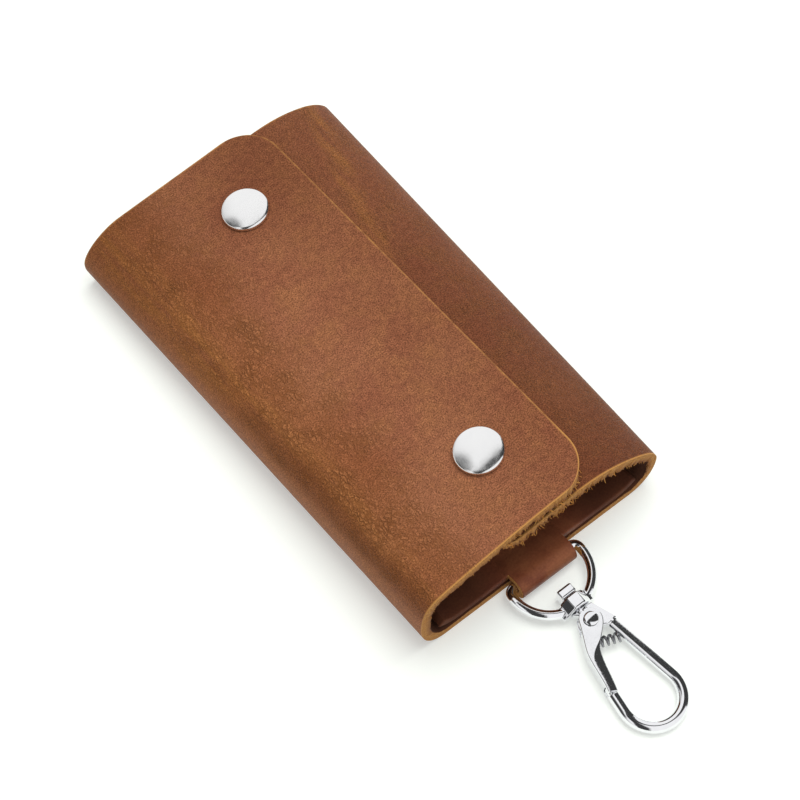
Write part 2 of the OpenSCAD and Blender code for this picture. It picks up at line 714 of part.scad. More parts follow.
module gate_spring() {
    n = wire_sides;
    walls = [for (i = [0:spring_points - 1], k = [0:n - 1])
        let (a = i * n + k, b = i * n + (k + 1) % n)
        each [[a, b + n, b], [a, a + n, b + n]]];
    caps = [for (k = [1:n - 2]) each [[0, k, k + 1],
        [spring_points * n, spring_points * n + k + 1, spring_points * n + k]]];
    color("#b9babf") in_clip() translate(concat(spring_seat, [0])) rotate(-spring_lean) rotate([90, 0, 0])
        polyhedron([for (i = [0:spring_points]) each spring_ring(i)], concat(walls, caps), convexity = 12);
}

// Key row: a folded plate riveted through the panel and the back, and hooks that turn in its lip
rack_length = 2 * (panel_flat + rack_over);
hook_pitch = (rack_length - 2 * hook_in) / (hook_count - 1);
block_width = hook_pitch - block_gap;
hook_legs = block_width - hook_wire;
rack_x = near_x - rack_in;
lip_x = rack_x - rack_width;
hook_z = panel_top + seat + hook_axis_up;
module at_rack_rivet(side) {
    translate([rack_x - rack_width / 2 + rack_sheet, side * (rack_length / 2 - rack_rivet_in), 0]) children();
}
module at_hook(i) {
    translate([lip_x, (i - (hook_count + 1) / 2) * hook_pitch, hook_z]) children();
}
module key_rack() {
    color("#c7c8cc") difference() {
        translate([lip_x, -rack_length / 2, panel_top + seat]) {
            cube([rack_width, rack_length, rack_sheet]);
            cube([rack_sheet, rack_length, rack_lip]);
        }
        for (i = [1:hook_count]) at_hook(i)
            along_x(-over, rack_sheet + 2 * over, hook_neck + 2 * pin_clearance);
        for (side = [-1, 1]) at_rack_rivet(side)
            translate([0, 0, panel_top]) cylinder(d = rack_rivet + 2 * seat, h = rack_sheet + over);
    }
}

module rack_rivet_at(side) {
    plate_top = panel_top + seat + rack_sheet;
    dome_radius = (pow(rack_rivet_head / 2, 2) + pow(rack_rivet_dome, 2)) / (2 * rack_rivet_dome);
    color("#c4c5c9") at_rack_rivet(side) {
        cylinder(d = rack_rivet_head, h = rack_rivet_flat);
        cylinder(d = rack_rivet, h = plate_top + 2 * seat);
        translate([0, 0, plate_top + seat]) intersection() {
            translate([0, 0, rack_rivet_dome - dome_radius]) sphere(dome_radius, $fn = 96);
            cylinder(d = rack_rivet_head, h = rack_rivet_dome);
        }
    }
}
module rack_rivet_left() { rack_rivet_at(-1); }
module rack_rivet_right() { rack_rivet_at(1); }

module hook_block(i) {
    flat = block_width - block_thickness;
    color("#c0c1c6") at_hook(i) difference() {
        union() {
            translate([-face_gap - block_length, 0, 0]) rotate([90, 0, 90]) linear_extrude(block_length) {
                square([flat, block_thickness], center = true);
                for (side = [-1, 1]) translate([side * flat / 2, 0]) circle(d = block_thickness);
            }
            along_x(-face_gap - seat, rack_sheet + 2 * face_gap + 2 * seat, hook_neck);
            along_x(rack_sheet + face_gap, hook_head_length, hook_head);
        }
        for (side = [-1, 1]) translate([0, side * hook_legs / 2, 0])
            along_x(-face_gap - block_length - over, over + block_length * wire_hold_share + seat, hook_wire + 2 * seat);
    }
}

module hook_wire_of(i) {
    start = -face_gap - block_length * (1 - wire_hold_share);
    end = -face_gap - block_length - hook_reach;
    color("#cfd0d4") at_hook(i) {
        for (side = [-1, 1]) bar([end, side * hook_legs / 2], [start, side * hook_legs / 2], hook_wire);
        bend([end, 0], hook_legs / 2, 90, 180, hook_wire);
    }
}

back_panel();
front_flap();
under_flap();
inner_panel();
snap_cap(snap_x);  // snap_cap_near
snap_cap(-snap_x);  // snap_cap_far
snap_socket(snap_x);  // snap_socket_near
snap_socket(-snap_x);  // snap_socket_far
snap_stud(snap_x);  // snap_stud_near
snap_stud(-snap_x);  // snap_stud_far
snap_eyelet(snap_x);  // snap_eyelet_near
snap_eyelet(-snap_x);  // snap_eyelet_far
swivel_ring();
clip_hook();
clip_gate();
gate_rivet();
gate_spring();
key_rack();
rack_rivet_left();
rack_rivet_right();
for (i = [1:hook_count]) {
    hook_block(i);
    hook_wire_of(i);
}
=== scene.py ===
import random
from math import acos, asin, atan2, copysign, cos, degrees, hypot, pi, radians, sin, sqrt, tan

import bmesh
import bpy
from mathutils import Matrix, Vector, noise


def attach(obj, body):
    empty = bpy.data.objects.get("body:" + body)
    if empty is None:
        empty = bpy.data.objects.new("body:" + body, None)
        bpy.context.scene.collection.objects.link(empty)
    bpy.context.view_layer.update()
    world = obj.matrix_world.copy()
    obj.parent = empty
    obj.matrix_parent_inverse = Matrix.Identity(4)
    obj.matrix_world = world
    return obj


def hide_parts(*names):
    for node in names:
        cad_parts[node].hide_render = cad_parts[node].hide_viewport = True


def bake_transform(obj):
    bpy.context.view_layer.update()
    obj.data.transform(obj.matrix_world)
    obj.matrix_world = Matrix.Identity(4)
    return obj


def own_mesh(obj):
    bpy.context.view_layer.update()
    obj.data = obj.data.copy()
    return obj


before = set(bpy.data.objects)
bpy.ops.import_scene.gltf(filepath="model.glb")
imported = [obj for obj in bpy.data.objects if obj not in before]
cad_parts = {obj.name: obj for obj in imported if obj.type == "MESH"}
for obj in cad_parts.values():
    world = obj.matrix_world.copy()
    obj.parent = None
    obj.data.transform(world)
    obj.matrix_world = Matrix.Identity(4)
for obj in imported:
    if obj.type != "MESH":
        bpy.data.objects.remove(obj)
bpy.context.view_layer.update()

scene = bpy.context.scene
MM = 0.001

# THE LEATHER BLANK. One piece of thick oiled cowhide, cut to shape and folded round from both sides.
# Its left half is the back and the front flap, its right half the back and the under flap, and they
# meet unseen under the middle of the back. Nothing is stitched.
case_length, leather = 115.0, 2.2
near_x = case_length / 2
lap_gap = 2.14  # left between the flaps by the snaps
flap_reach = 13.0  # how far the front flap's free edge lies past the middle
lap_from = flap_reach * 0.35
flap_corner, under_corner = 9, 6
# each pair is a size at the far end and at the mouth: widths and heights in mm, slopes in degrees
half_width, foot_round = (34.1, 31.4), (6, 6.5)
front_fold, under_fold = (6.8, 10.5), (6, 8.5)
crease_in, crease_up, crease_slope = (10.5, 5.4), (16, 21.2), (7, 15)
edge_up, edge_slope = (20.5, 27.5), (8, 2)
under_in, under_up, under_slope = (7.5, 7.4), (14.2, 17.8), (20, 32)
joint_gap = 0.1  # half of the gap that the CAD leaves in each fold
wave, wave_from, wave_full = 0.12, 30, 50  # a low wave past the flat back
corner_wear = 0.22
seam_clear, low_edge = 0.2, 5
foot_end = 12 + 20  # the cross-section's point at the top of its foot


def between(x, pair):
    """A pair's size at x."""
    far, near = pair
    return far + (near - far) * (0.5 + x / case_length)


def way(angle):
    return Vector((cos(radians(angle)), sin(radians(angle))))


def bezier(p, s):
    return p[0] * (1 - s) ** 3 + p[1] * (3 * s * (1 - s) ** 2) + p[2] * (3 * s * s * (1 - s)) + p[3] * s ** 3


def foot_curve(x, fold):
    w, f, top = between(x, half_width), between(x, foot_round), fold - joint_gap
    return [Vector(p) for p in ((w - f, 0), (w - f + 0.6 * f, 0), (w, top * 0.4), (w, top))]


def front_curve(x):
    w, low = between(x, half_width), between(x, front_fold) + joint_gap
    end = Vector((between(x, crease_in) - w, between(x, crease_up)))
    share = between(x, (0.45, 0.7))
    back = way(between(x, crease_slope)) * (end.x + w) * share
    return [Vector((-w, low)), Vector((-w, low + (end.y - low) * share)), end - back, end]


def front_top(x):
    start, end = front_curve(x)[3], Vector((flap_reach, between(x, edge_up)))
    third = (end.x - start.x) / 3
    rises = [third * tan(radians(between(x, slope))) for slope in (crease_slope, edge_slope)]
    return [start, start + Vector((third, rises[0])), end - Vector((third, rises[1])), end]


def on_flap(x, y):
    """A point of the front flap's outer face, and the way that its cross-section runs there."""
    p = front_top(x)
    s = (y - p[0].x) / (p[3].x - p[0].x)
    return bezier(p, s), (bezier(p, s + 0.01) - bezier(p, s - 0.01)).normalized()


def lap_point(x, y):
    """A point of the under flap's outer face, where it lies under the front flap."""
    at, run = on_flap(x, y)
    return at + (leather + lap_gap) * Vector((run.y, -run.x)), -run


def under_curve(x):
    w, low = between(x, half_width), between(x, under_fold) + joint_gap
    end = Vector((w - between(x, under_in), between(x, under_up)))
    back = way(180 - between(x, under_slope)) * (w - end.x) * 0.45
    return [Vector((w, low)), Vector((w, low + (end.y - low) * 0.45)), end - back, end]


def lap_curve(x):
    start, (end, end_way) = under_curve(x)[3], lap_point(x, lap_from)
    handle = (end - start).length * 0.4
    return [start, start + way(180 - between(x, under_slope)) * handle, end - end_way * handle, end]


def corner_loss(x, radius):
    into = radius - near_x + abs(x)
    return 0 if into <= 0 else radius - sqrt(max(0, radius * radius - into * into))


def side_path(foot, curve, steps):
    """The outer face's cross-section, from the middle of the back to the top of the side."""
    path = [Vector((foot[0].x * k / 12, 0)) for k in range(12)]
    path += [bezier(foot, k / 20) for k in range(21)]
    return path + [bezier(curve, k / steps) for k in range(steps + 1)]


def front_path(x):
    """The whole cross-section on the left, to the front flap's free edge."""
    foot, top = foot_curve(x, between(x, front_fold)), front_top(x)
    last = (flap_reach - corner_loss(x, flap_corner) - top[0].x) / (flap_reach - top[0].x)
    path = side_path([Vector((-p.x, p.y)) for p in foot], front_curve(x), 34)
    return path + [bezier(top, last * k / 110) for k in range(1, 111)]


def under_path(x):
    """The whole cross-section on the right, to the under flap's free edge."""
    lap, edge_to = lap_curve(x), corner_loss(x, under_corner) - flap_reach
    path = side_path(foot_curve(x, between(x, under_fold)), under_curve(x), 26)
    path += [bezier(lap, k / 60) for k in range(1, 61)]
    return path + [lap_point(x, lap_from + (edge_to - lap_from) * k / 50)[0] for k in range(1, 51)]


def stations(corner):
    """Places of the cross-sections along the case, closest together at the rounded corners."""
    ends = [near_x - corner * (1 - sin(radians(90 * k / 26))) for k in range(27)]
    middle = [(near_x - corner) * (2 * k / 90 - 1) for k in range(1, 90)]
    return [-x for x in reversed(ends)] + middle + ends


def only(obj):
    """Leaves this object alone selected and active."""
    bpy.ops.object.select_all(action="DESELECT")
    obj.select_set(True)
    bpy.context.view_layer.objects.active = obj


def placed(primitive, **settings):
    """Adds a primitive with nothing else selected."""
    bpy.ops.object.select_all(action="DESELECT")
    primitive(**settings)
    return bpy.context.object


def modify(obj, kind, **settings):
    """Adds one modifier and applies it."""
    only(obj)
    modifier = obj.modifiers.new(kind.lower(), kind)
    for key, value in settings.items():
        setattr(modifier, key, value)
    bpy.ops.object.modifier_apply(modifier=modifier.name)


def smoothed(obj, angle):
    """Shades a piece smooth, apart from edges sharper than this."""
    only(obj)
    bpy.ops.object.shade_smooth_by_angle(angle=radians(angle))


def pick_edges(obj, chosen):
    """Opens a piece in edit mode with the chosen edges selected."""
    only(obj)
    bpy.ops.object.mode_set(mode="EDIT")
    bpy.ops.mesh.select_all(action="DESELECT")
    for edge in bmesh.from_edit_mesh(obj.data).edges:
        edge.select_set(chosen(edge))
    bmesh.update_edit_mesh(obj.data)


def rub_round(obj, chosen):
    """Rounds the chosen edges, as leather wears."""
    pick_edges(obj, chosen)
    bpy.ops.mesh.bevel(offset=corner_wear * MM, segments=2, affect="EDGES")
    bpy.ops.object.mode_set(mode="OBJECT")


def laid_grid(name, rows, maps):
    """A flat grid whose points are laid at rows[i][j]. maps holds each UV map's values, row by row."""
    tall, wide = len(rows) - 1, len(rows[0]) - 1
    obj = placed(bpy.ops.mesh.primitive_grid_add, x_subdivisions=wide, y_subdivisions=tall, size=2,
                 calc_uvs=False)
    obj.name = name
    mesh = obj.data
    at = [(round((v.co.y + 1) / 2 * tall), round((v.co.x + 1) / 2 * wide)) for v in mesh.vertices]
    for vertex, (i, j) in zip(mesh.vertices, at):
        vertex.co = rows[i][j]
    for map_name, values in maps.items():
        uv_map = mesh.uv_layers.new(name=map_name)
        for loop in mesh.loops:
            i, j = at[loop.vertex_index]
            uv_map.data[loop.index].uv = values[i][j]
    return obj


def blank_half(name, path, side, corner):
    """Half of the blank: its grain side laid on the cross-sections, then its thickness inwards."""
    rows, hide, fold = [], [], []
    for x in stations(corner):
        points, along = path(x), [0.0]
        for a, b in zip(points, points[1:]):
            along.append(along[-1] + (b - a).length)
        rows.append([])
        for p, s in zip(points, along):
            share = min(1, max(0, (s - wave_from) / (wave_full - wave_from)))
            bow = wave * share * noise.noise(Vector((x / 24, s / 20, side * 7)))
            rows[-1].append(Vector((x, p.x, p.y + bow)) * MM)
        hide.append([(side * s * MM, x * MM) for s in along])
        fold.append([((s - along[foot_end]) * MM, min(near_x - abs(x), along[-1] - s) * MM) for s in along])
    obj = laid_grid(name, rows, {"hide": hide, "fold": fold})
    if min(obj.data.polygons, key=lambda f: f.center.z).normal.z > 0:
        obj.data.flip_normals()
    for finish in (grain, cut_edge, flesh):
        obj.data.materials.append(finish)
    modify(obj, "SOLIDIFY", thickness=leather * MM, use_even_offset=True, material_offset=2,
           material_offset_rim=1)
    return obj


def fraying(p):
    """How much the cut edge frays: most at the mouth and round the flap's corner, least at the far end."""
    if p.x < near_x - 11:
        return 0.16
    if p.z < low_edge:
        return 0.3
    if p.y < -12:
        return 0.4
    return 1.15 if p.y < 14 else 0.9


def ragged(obj):
    """Frays the cut edge's flesh-side border, as a dull die leaves it, and lets some fibres hang out."""
    chance = random.Random(7)
    draw = chance.uniform
    work = bmesh.new()
    work.from_mesh(obj.data)
    work.normal_update()
    depth = work.verts.layers.float.new("depth")
    frayed = []
    for v in work.verts:
        kinds = {f.material_index for f in v.link_faces}
        v[depth] = (0.35 if v.co.z < low_edge * MM else 1.0) if 2 in kinds else 0.0
        if not {1, 2} <= kinds or abs(v.co.y) < seam_clear * MM:
            continue
        out, down = (sum((f.normal for f in v.link_faces if f.material_index == kind), Vector()).normalized()
                     for kind in (1, 2))
        p = v.co / MM
        amount = fraying(p)
        rough = noise.noise(p / 1.3) + 0.9 * noise.noise(p / 0.5 + Vector((9, 9, 9)))
        sag = noise.noise(p / 0.9 + Vector((4, 0, 0))) + 0.9 * noise.noise(p / 0.4)
        move = out * amount * 0.4 * rough + down * amount * (0.1 + 0.6 * sag)
        frayed.append((v, out, down, amount, move))
    for v, *_, move in frayed:
        v.co += move * MM
    for v, out, down, amount, _ in [one for one in frayed for _ in range(2)]:
        if chance.random() > amount:
            continue
        along = out.cross(down)
        base = v.co.copy() - (down * 0.25 + out * 0.1) * MM + along * draw(-0.4, 0.4) * MM
        long = (0.15 + 0.5 * chance.random() ** 2.4) * (0.5 + amount)
        tint = draw(0.0, 0.6)
        lean = (down * draw(0.1, 1.0) + out * draw(-0.1, 0.9) + along * draw(-1.0, 1.0)).normalized()
        hook = (out * draw(-0.8, 0.9) + along * draw(-1.0, 1.0)) * 0.4
        wide, flat = draw(0.06, 0.15), draw(0.05, 0.1)
        rings = []
        for share, size in ((0.0, 1.0), (0.5, 0.85), (0.85, 0.6)):
            centre = base + (lean * long * share + hook * long * share * share) * MM
            rings.append([work.verts.new(centre + (along * wide * a + out * flat * b) * size * MM)
                          for a, b in ((1, 0), (0, 1), (-1, 0), (0, -1))])
        tip = work.verts.new(base + (lean * long + hook * long) * MM)
        made = [work.faces.new((low[k], low[(k + 1) % 4], high[(k + 1) % 4], high[k]))
                for low, high in zip(rings, rings[1:]) for k in range(4)]
        made += [work.faces.new((rings[-1][k], rings[-1][(k + 1) % 4], tip)) for k in range(4)]
        made.append(work.faces.new(rings[0][::-1]))
        centre = sum((f.calc_center_median() for f in made), Vector()) / len(made)
        made[0].normal_update()
        if (made[0].calc_center_median() - centre).dot(made[0].normal) < 0:
            bmesh.ops.reverse_faces(work, faces=made)
        for f in made:
            f.material_index = 1
            for corner in f.verts:
                corner[depth] = tint
    for v in work.verts:
        v.co.z = max(v.co.z, 0)
    work.to_mesh(obj.data)
    work.free()


def linear(text):
    """An sRGB hex colour as linear light."""
    parts = [int(text[i:i + 2], 16) / 255 for i in (1, 3, 5)]
    return tuple(c / 12.92 if c <= 0.04045 else ((c + 0.055) / 1.055) ** 2.4 for c in parts) + (1.0,)


def feed(node, inputs):
    """Sets a node's inputs: values, hex colours, the ends of a range, and sockets or nodes to link."""
    for key, value in inputs.items():
        if key in ("From", "To"):
            feed(node, {key + " Min": value[0], key + " Max": value[1]})
            continue
        if isinstance(value, str):
            value = linear(value)
        if isinstance(value, bpy.types.Node):
            value = next(socket for socket in value.outputs if socket.enabled)
        if isinstance(value, bpy.types.NodeSocket):
            node.id_data.links.new(value, node.inputs[key])
        else:
            node.inputs[key].default_value = value


def add(owner, kind, inputs=None, **settings):
    """Adds one node to a material or world, with its settings and its inputs. A Mix mixes colours."""
    node = owner.node_tree.nodes.new("ShaderNode" + kind)
    if kind == "Mix":
        node.data_type = "RGBA"
    for key, value in settings.items():
        setattr(node, key, value)
    feed(node, inputs or {})
    return node


def new_material(name):
    material = bpy.data.materials.new(name)
    material.use_nodes = True
    return material, material.node_tree.nodes["Principled BSDF"]


# Oiled pull-up cowhide, full grain: it lightens to gold where it is bent, with a fine pebble, short break
# wrinkles, a waxy half gloss and worn, paler edges. Painted shade darkens its folds, the under flap, and the
# front flap towards its free edge and far end, and painted light lifts the foot of the front side. The pebble
# and specks are drawn about twice as coarse as the real grain, so that they show
grain, shader = new_material("oiled_cowhide_grain")
lie = add(grain, "UVMap", uv_map="hide")
on_hide = add(grain, "SeparateXYZ", {"Vector": lie}).outputs
near_fold = add(grain, "SeparateXYZ", {"Vector": add(grain, "UVMap", uv_map="fold")}).outputs
along_case = add(grain, "Mapping", {"Vector": lie, "Scale": (1.0, 0.12, 1.0)})
cloud, patch, mottle, speck, streak = [
    add(grain, "TexNoise", {"Vector": over, "Scale": 1 / (size * MM), "Detail": detail, "Roughness": rough})
    for over, size, detail, rough in ((lie, 24, 5, 0.6), (lie, 6, 5, 0.65), (lie, 1.5, 4, 0.65),
                                      (lie, 0.3, 2, 0.7), (along_case, 2.4, 4, 0.65))]
pebble = add(grain, "TexVoronoi", {"Vector": lie, "Scale": 1 / (0.7 * MM)}, feature="SMOOTH_F1")
cloudy = add(grain, "MapRange", {"Value": cloud, "From": (0.34, 0.66)})
patchy = add(grain, "MapRange", {"Value": patch, "From": (0.45, 0.70), "To Max": 0.5})
body = add(grain, "Mix", {"Factor": cloudy, "A": "#8C563D", "B": "#9A6547"})
body = add(grain, "Mix", {"Factor": patchy, "A": body, "B": "#9B6741"})
soft = {"interpolation_type": "SMOOTHSTEP"}


def stripe(value, places, most, *shares):
    """A stripe along the case that rises and falls softly between four places, times other shares."""
    start, full, fading, end = (place * MM for place in places)
    share = add(grain, "MapRange", {"Value": value, "From": (start, full), "To Max": most}, **soft)
    fall = add(grain, "MapRange", {"Value": value, "From": (fading, end), "To": (1, 0)}, **soft)
    for other in (fall, *shares):
        share = add(grain, "Math", {0: share, 1: other}, operation="MULTIPLY")
    return share


# the fold of the front flap gets painted shade, with a darker stripe of painted shade along it and
# painted light at its foot, and the hide is pulled to gold beside the stripe; a golden streak runs
# slantwise over the under flap
wander = add(grain, "MapRange", {"Value": cloud, "From": (0.3, 0.7), "To": (-2.0 * MM, 2.0 * MM)})
place = add(grain, "Math", {0: near_fold["X"], 1: wander})
slant = add(grain, "Math", {0: on_hide["Y"], 1: -0.315, 2: place}, operation="MULTIPLY_ADD")
on_front = add(grain, "Math", {0: on_hide["X"], 1: 0.0}, operation="LESS_THAN")
on_under = add(grain, "Math", {0: on_hide["X"], 1: 0.0}, operation="GREATER_THAN")
streaky = add(grain, "MapRange", {"Value": streak, "From": (0.36, 0.62)})
broken = add(grain, "MapRange", {"Value": patch, "From": (0.36, 0.6), "To Min": 0.55})
near_part = stripe(on_hide["Y"], (-40, 25, 90, 100), 0.8)
far_part = stripe(on_hide["Y"], (-90, -70, -16, 8), 1.0)
for share, colour in (
        # painted shade over the front flap's fold
        (stripe(place, (0.0, 5.0, 16.0, 26.0), 0.35, on_front), "#885024"),
        (stripe(place, (7.5, 10.5, 11.5, 16.0), 0.65, streaky, on_front), "#A56D3D"),
        (stripe(place, (2.0, 6.5, 8.5, 12.0), 0.7, far_part, on_front, streaky), "#A26A38"),
        (stripe(slant, (24.0, 27.0, 28.6, 31.5), 0.75, far_part, on_under, streaky), "#AE7645"),
        # painted light: the foot of the front side, which turns away from the lamp, is lightened
        (stripe(near_fold["X"], (-6.0, -1.0, 2.0, 6.0), 0.45, on_front), "#A96D45"),
        # painted shade: a dark stripe along the front flap's fold, broken up in patches
        (stripe(place, (3.8, 6.8, 8.2, 13.0), 0.85, near_part, on_front, broken), "#6E401F")):
    body = add(grain, "Mix", {"Factor": share, "A": body, "B": colour})
for noises, least, most in ((speck, 0.52, 1.52), (mottle, 0.87, 1.13)):
    share = add(grain, "MapRange", {"Value": noises, "From": (0.36, 0.64), "To": (least, most)})
    body = add(grain, "Mix", {"Factor": 1.0, "A": body, "B": share}, blend_type="MULTIPLY")
# painted shade: the flap is darker towards its free edge and its far end, and the under flap all over
far_painted_shade = add(grain, "MapRange", {"Value": on_hide["Y"], "From": (-50 * MM, -12 * MM), "To": (0.38, 0.0)},
               **soft)
edge_painted_shade = add(grain, "MapRange", {"Value": near_fold["X"], "From": (24 * MM, 50 * MM), "To Max": 0.38},
                **soft)
under_painted_shade = add(grain, "MapRange", {"Value": on_hide["Y"], "From": (-25 * MM, 45 * MM), "To": (0.66, 0.95)})
painted_shade = add(grain, "Math", {0: under_painted_shade, 1: on_under}, operation="MULTIPLY")
painted_shade = add(grain, "Math", {0: add(grain, "Math", {0: far_painted_shade, 1: edge_painted_shade}), 1: on_front, 2: painted_shade},
              operation="MULTIPLY_ADD")
body = add(grain, "Mix", {"Factor": painted_shade, "A": body, "B": "#C0B4AC"}, blend_type="MULTIPLY")
# break wrinkles: short dark cracks of the grain, closest together beside the fold
bent = add(grain, "TexNoise", {"Vector": lie, "Scale": 1 / (1.6 * MM), "Detail": 2}).outputs["Color"]
shaken = add(grain, "VectorMath", {0: bent, 1: (0.0022, 0.0022, 0.0)}, operation="MULTIPLY")
crease = add(grain, "Mapping", {"Vector": add(grain, "VectorMath", {0: lie, 1: shaken}, operation="ADD"),
                                "Rotation": (0, 0, 0.6), "Scale": (1.0, 0.36, 1.0)})
wrinkle = add(grain, "TexVoronoi", {"Vector": crease, "Scale": 1 / (0.7 * MM)}, feature="DISTANCE_TO_EDGE")
cracked = add(grain, "MapRange", {"Value": wrinkle, "From": (0.0, 0.2), "To": (1, 0)})
spread = add(grain, "MapRange", {"Value": patch, "From": (0.3, 0.62)})
dimmed = add(grain, "MapRange", {"Value": speck, "From": (0.35, 0.6), "To": (0.3, 0.75)})
beside_fold = (2, 9, 18, 34)
wrinkled = stripe(near_fold["X"], beside_fold, 1.0, spread)
cracks = stripe(near_fold["X"], beside_fold, 1.0, spread, cracked, on_front, dimmed)
body = add(grain, "Mix", {"Factor": cracks, "A": body, "B": "#6A3C1C"})
# the border of the cut edge is worn pale, most at the mouth
wear = add(grain, "MapRange", {"Value": near_fold["Y"], "From": (0.12 * MM, 0.45 * MM), "To": (0.9, 0.0)})
rubbed = add(grain, "MapRange", {"Value": patch, "From": (0.42, 0.66), "To": (0.2, 0.8)})
mouth_end = add(grain, "MapRange", {"Value": on_hide["Y"], "From": (38 * MM, 47 * MM)})
worn = add(grain, "Math", {0: rubbed, 1: mouth_end}, operation="MAXIMUM")
worn = add(grain, "Math", {0: wear, 1: worn}, operation="MULTIPLY")
body = add(grain, "Mix", {"Factor": worn, "A": body, "B": "#CC9452"})
bump = add(grain, "Bump", {"Height": pebble, "Strength": 0.35, "Distance": 0.07 * MM})
bump = add(grain, "Bump", {"Height": speck, "Strength": 0.4, "Distance": 0.1 * MM, "Normal": bump})
bump = add(grain, "Bump", {"Height": cracked, "Strength": wrinkled, "Distance": 0.17 * MM, "Normal": bump},
           invert=True)
gloss = add(grain, "MapRange", {"Value": patch, "To": (0.42, 0.60)})
feed(shader, {"Base Color": body, "Roughness": gloss, "Normal": bump, "Specular IOR Level": 0.06})

# The raw cut edge of the hide: undyed golden fibres, rough and matt, browner towards the flesh side
cut_edge, shader = new_material("raw_cut_edge_of_cowhide")
lie = add(cut_edge, "TexCoord").outputs["Object"]
fibre = add(cut_edge, "TexNoise", {"Vector": lie, "Scale": 1 / (0.5 * MM), "Detail": 4, "Roughness": 0.7})
clump = add(cut_edge, "TexNoise", {"Vector": lie, "Scale": 1 / (3 * MM), "Detail": 3})
deep = add(cut_edge, "Attribute", attribute_name="depth").outputs["Fac"]
golden = add(cut_edge, "Mix", {"Factor": clump, "A": "#C07F35", "B": "#DDAA60"})
fibrous = add(cut_edge, "MapRange", {"Value": fibre, "From": (0.35, 0.65)})
golden = add(cut_edge, "Mix", {"Factor": fibrous, "A": "#A4652A", "B": golden})
browned = add(cut_edge, "MapRange", {"Value": deep, "From": (0.4, 1.0), "To Max": 0.8})
golden = add(cut_edge, "Mix", {"Factor": browned, "A": golden, "B": "#7A4522"})
bump = add(cut_edge, "Bump", {"Height": fibre, "Strength": 0.7, "Distance": 0.2 * MM})
feed(shader, {"Base Color": golden, "Normal": bump, "Roughness": 0.85})

# The flesh side: a short nap, matt, with paler tufts, coloured a darker brown than its raw tan as painted
# shade for the inside of the case
flesh, shader = new_material("flesh_side_of_cowhide")
lie = add(flesh, "TexCoord").outputs["Object"]
nap = add(flesh, "TexNoise", {"Vector": lie, "Scale": 1 / (0.6 * MM), "Detail": 5, "Roughness": 0.7})
drift = add(flesh, "TexNoise", {"Vector": lie, "Scale": 1 / (9 * MM), "Detail": 3})
dark = add(flesh, "Mix", {"Factor": drift, "A": "#4A281A", "B": "#6B4028"})
tufts = add(flesh, "MapRange", {"Value": nap, "From": (0.3, 0.7), "To": (0.75, 1.2)})
dark = add(flesh, "Mix", {"Factor": 1.0, "A": dark, "B": tufts}, blend_type="MULTIPLY")
bump = add(flesh, "Bump", {"Height": nap, "Strength": 0.6, "Distance": 0.2 * MM})
feed(shader, {"Base Color": dark, "Normal": bump, "Roughness": 0.9})

front_half = blank_half("blank_with_front_flap", front_path, -1, flap_corner)
under_half = blank_half("blank_with_under_flap", under_path, 1, under_corner)


def grain_corner(edge):
    """Whether the grain side meets the cut edge here, away from the seam under the back."""
    away = all(abs(v.co.y) > seam_clear * MM or v.co.z > low_edge * MM for v in edge.verts)
    return {f.material_index for f in edge.link_faces} == {0, 1} and away


for half in (front_half, under_half):
    rub_round(half, grain_corner)
    ragged(half)
    smoothed(half, 50)

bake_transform(front_half)
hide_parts("back_panel", "front_flap")
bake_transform(under_half)
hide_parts("under_flap")

# THE INNER PANEL. A thinner, smoother dark leather with upturned sides, riveted to the back. Its
# tab comes out of the mouth, goes round the ring's bar and back under.
panel_leather, panel_top = 2.0, 4.45
panel_half, panel_flat, upturn = 26, 21, 6
panel_from, tab_start, panel_end = -56, near_x - 4.0, near_x - 0.3
tab_y, tab_width = -1.3, 14.6
tab_from, tab_to = tab_y - tab_width / 2 - 0.01, tab_y + tab_width / 2 + 0.01
bar_x, bar_z, loop_radius, loop_end = 59.5, 3.0, 2.8, -118


def on_panel(y):
    """The panel's upper face at y: flat, with its sides turned up."""
    if abs(y) <= panel_flat:
        return y, panel_top
    turn = min(radians(45), (abs(y) - panel_flat) / upturn)
    return copysign(panel_flat + upturn * sin(turn), y), panel_top + upturn - upturn * cos(turn)


def arc(centre, radius, start, turn, steps):
    return [Vector(centre) + radius * way(start + turn * k / steps) for k in range(steps + 1)]


bar_at = Vector((bar_x, bar_z))
reach = hypot(bar_x - tab_start, panel_top - bar_z)
touch_at = degrees(atan2(panel_top - bar_z, tab_start - bar_x) - acos(loop_radius / reach))
tab_line = arc(bar_at, loop_radius, touch_at, loop_end - touch_at, 26)
tab_line = [Vector((tab_start, panel_top)).lerp(tab_line[0], k / 8) for k in range(8)] + tab_line


def rise_at(x):
    """Height of the tab's upper face at x, up to where it reaches its loop."""
    for a, b in zip(tab_line, tab_line[1:]):
        if a.x <= x <= b.x:
            return a.y + (b.y - a.y) * (x - a.x) / (b.x - a.x)
    return panel_top


def on_tab(point, past):
    """Whether a point in metres is on the tab, further out than this many mm."""
    return point.x > past * MM and tab_from * MM < point.y < tab_to * MM


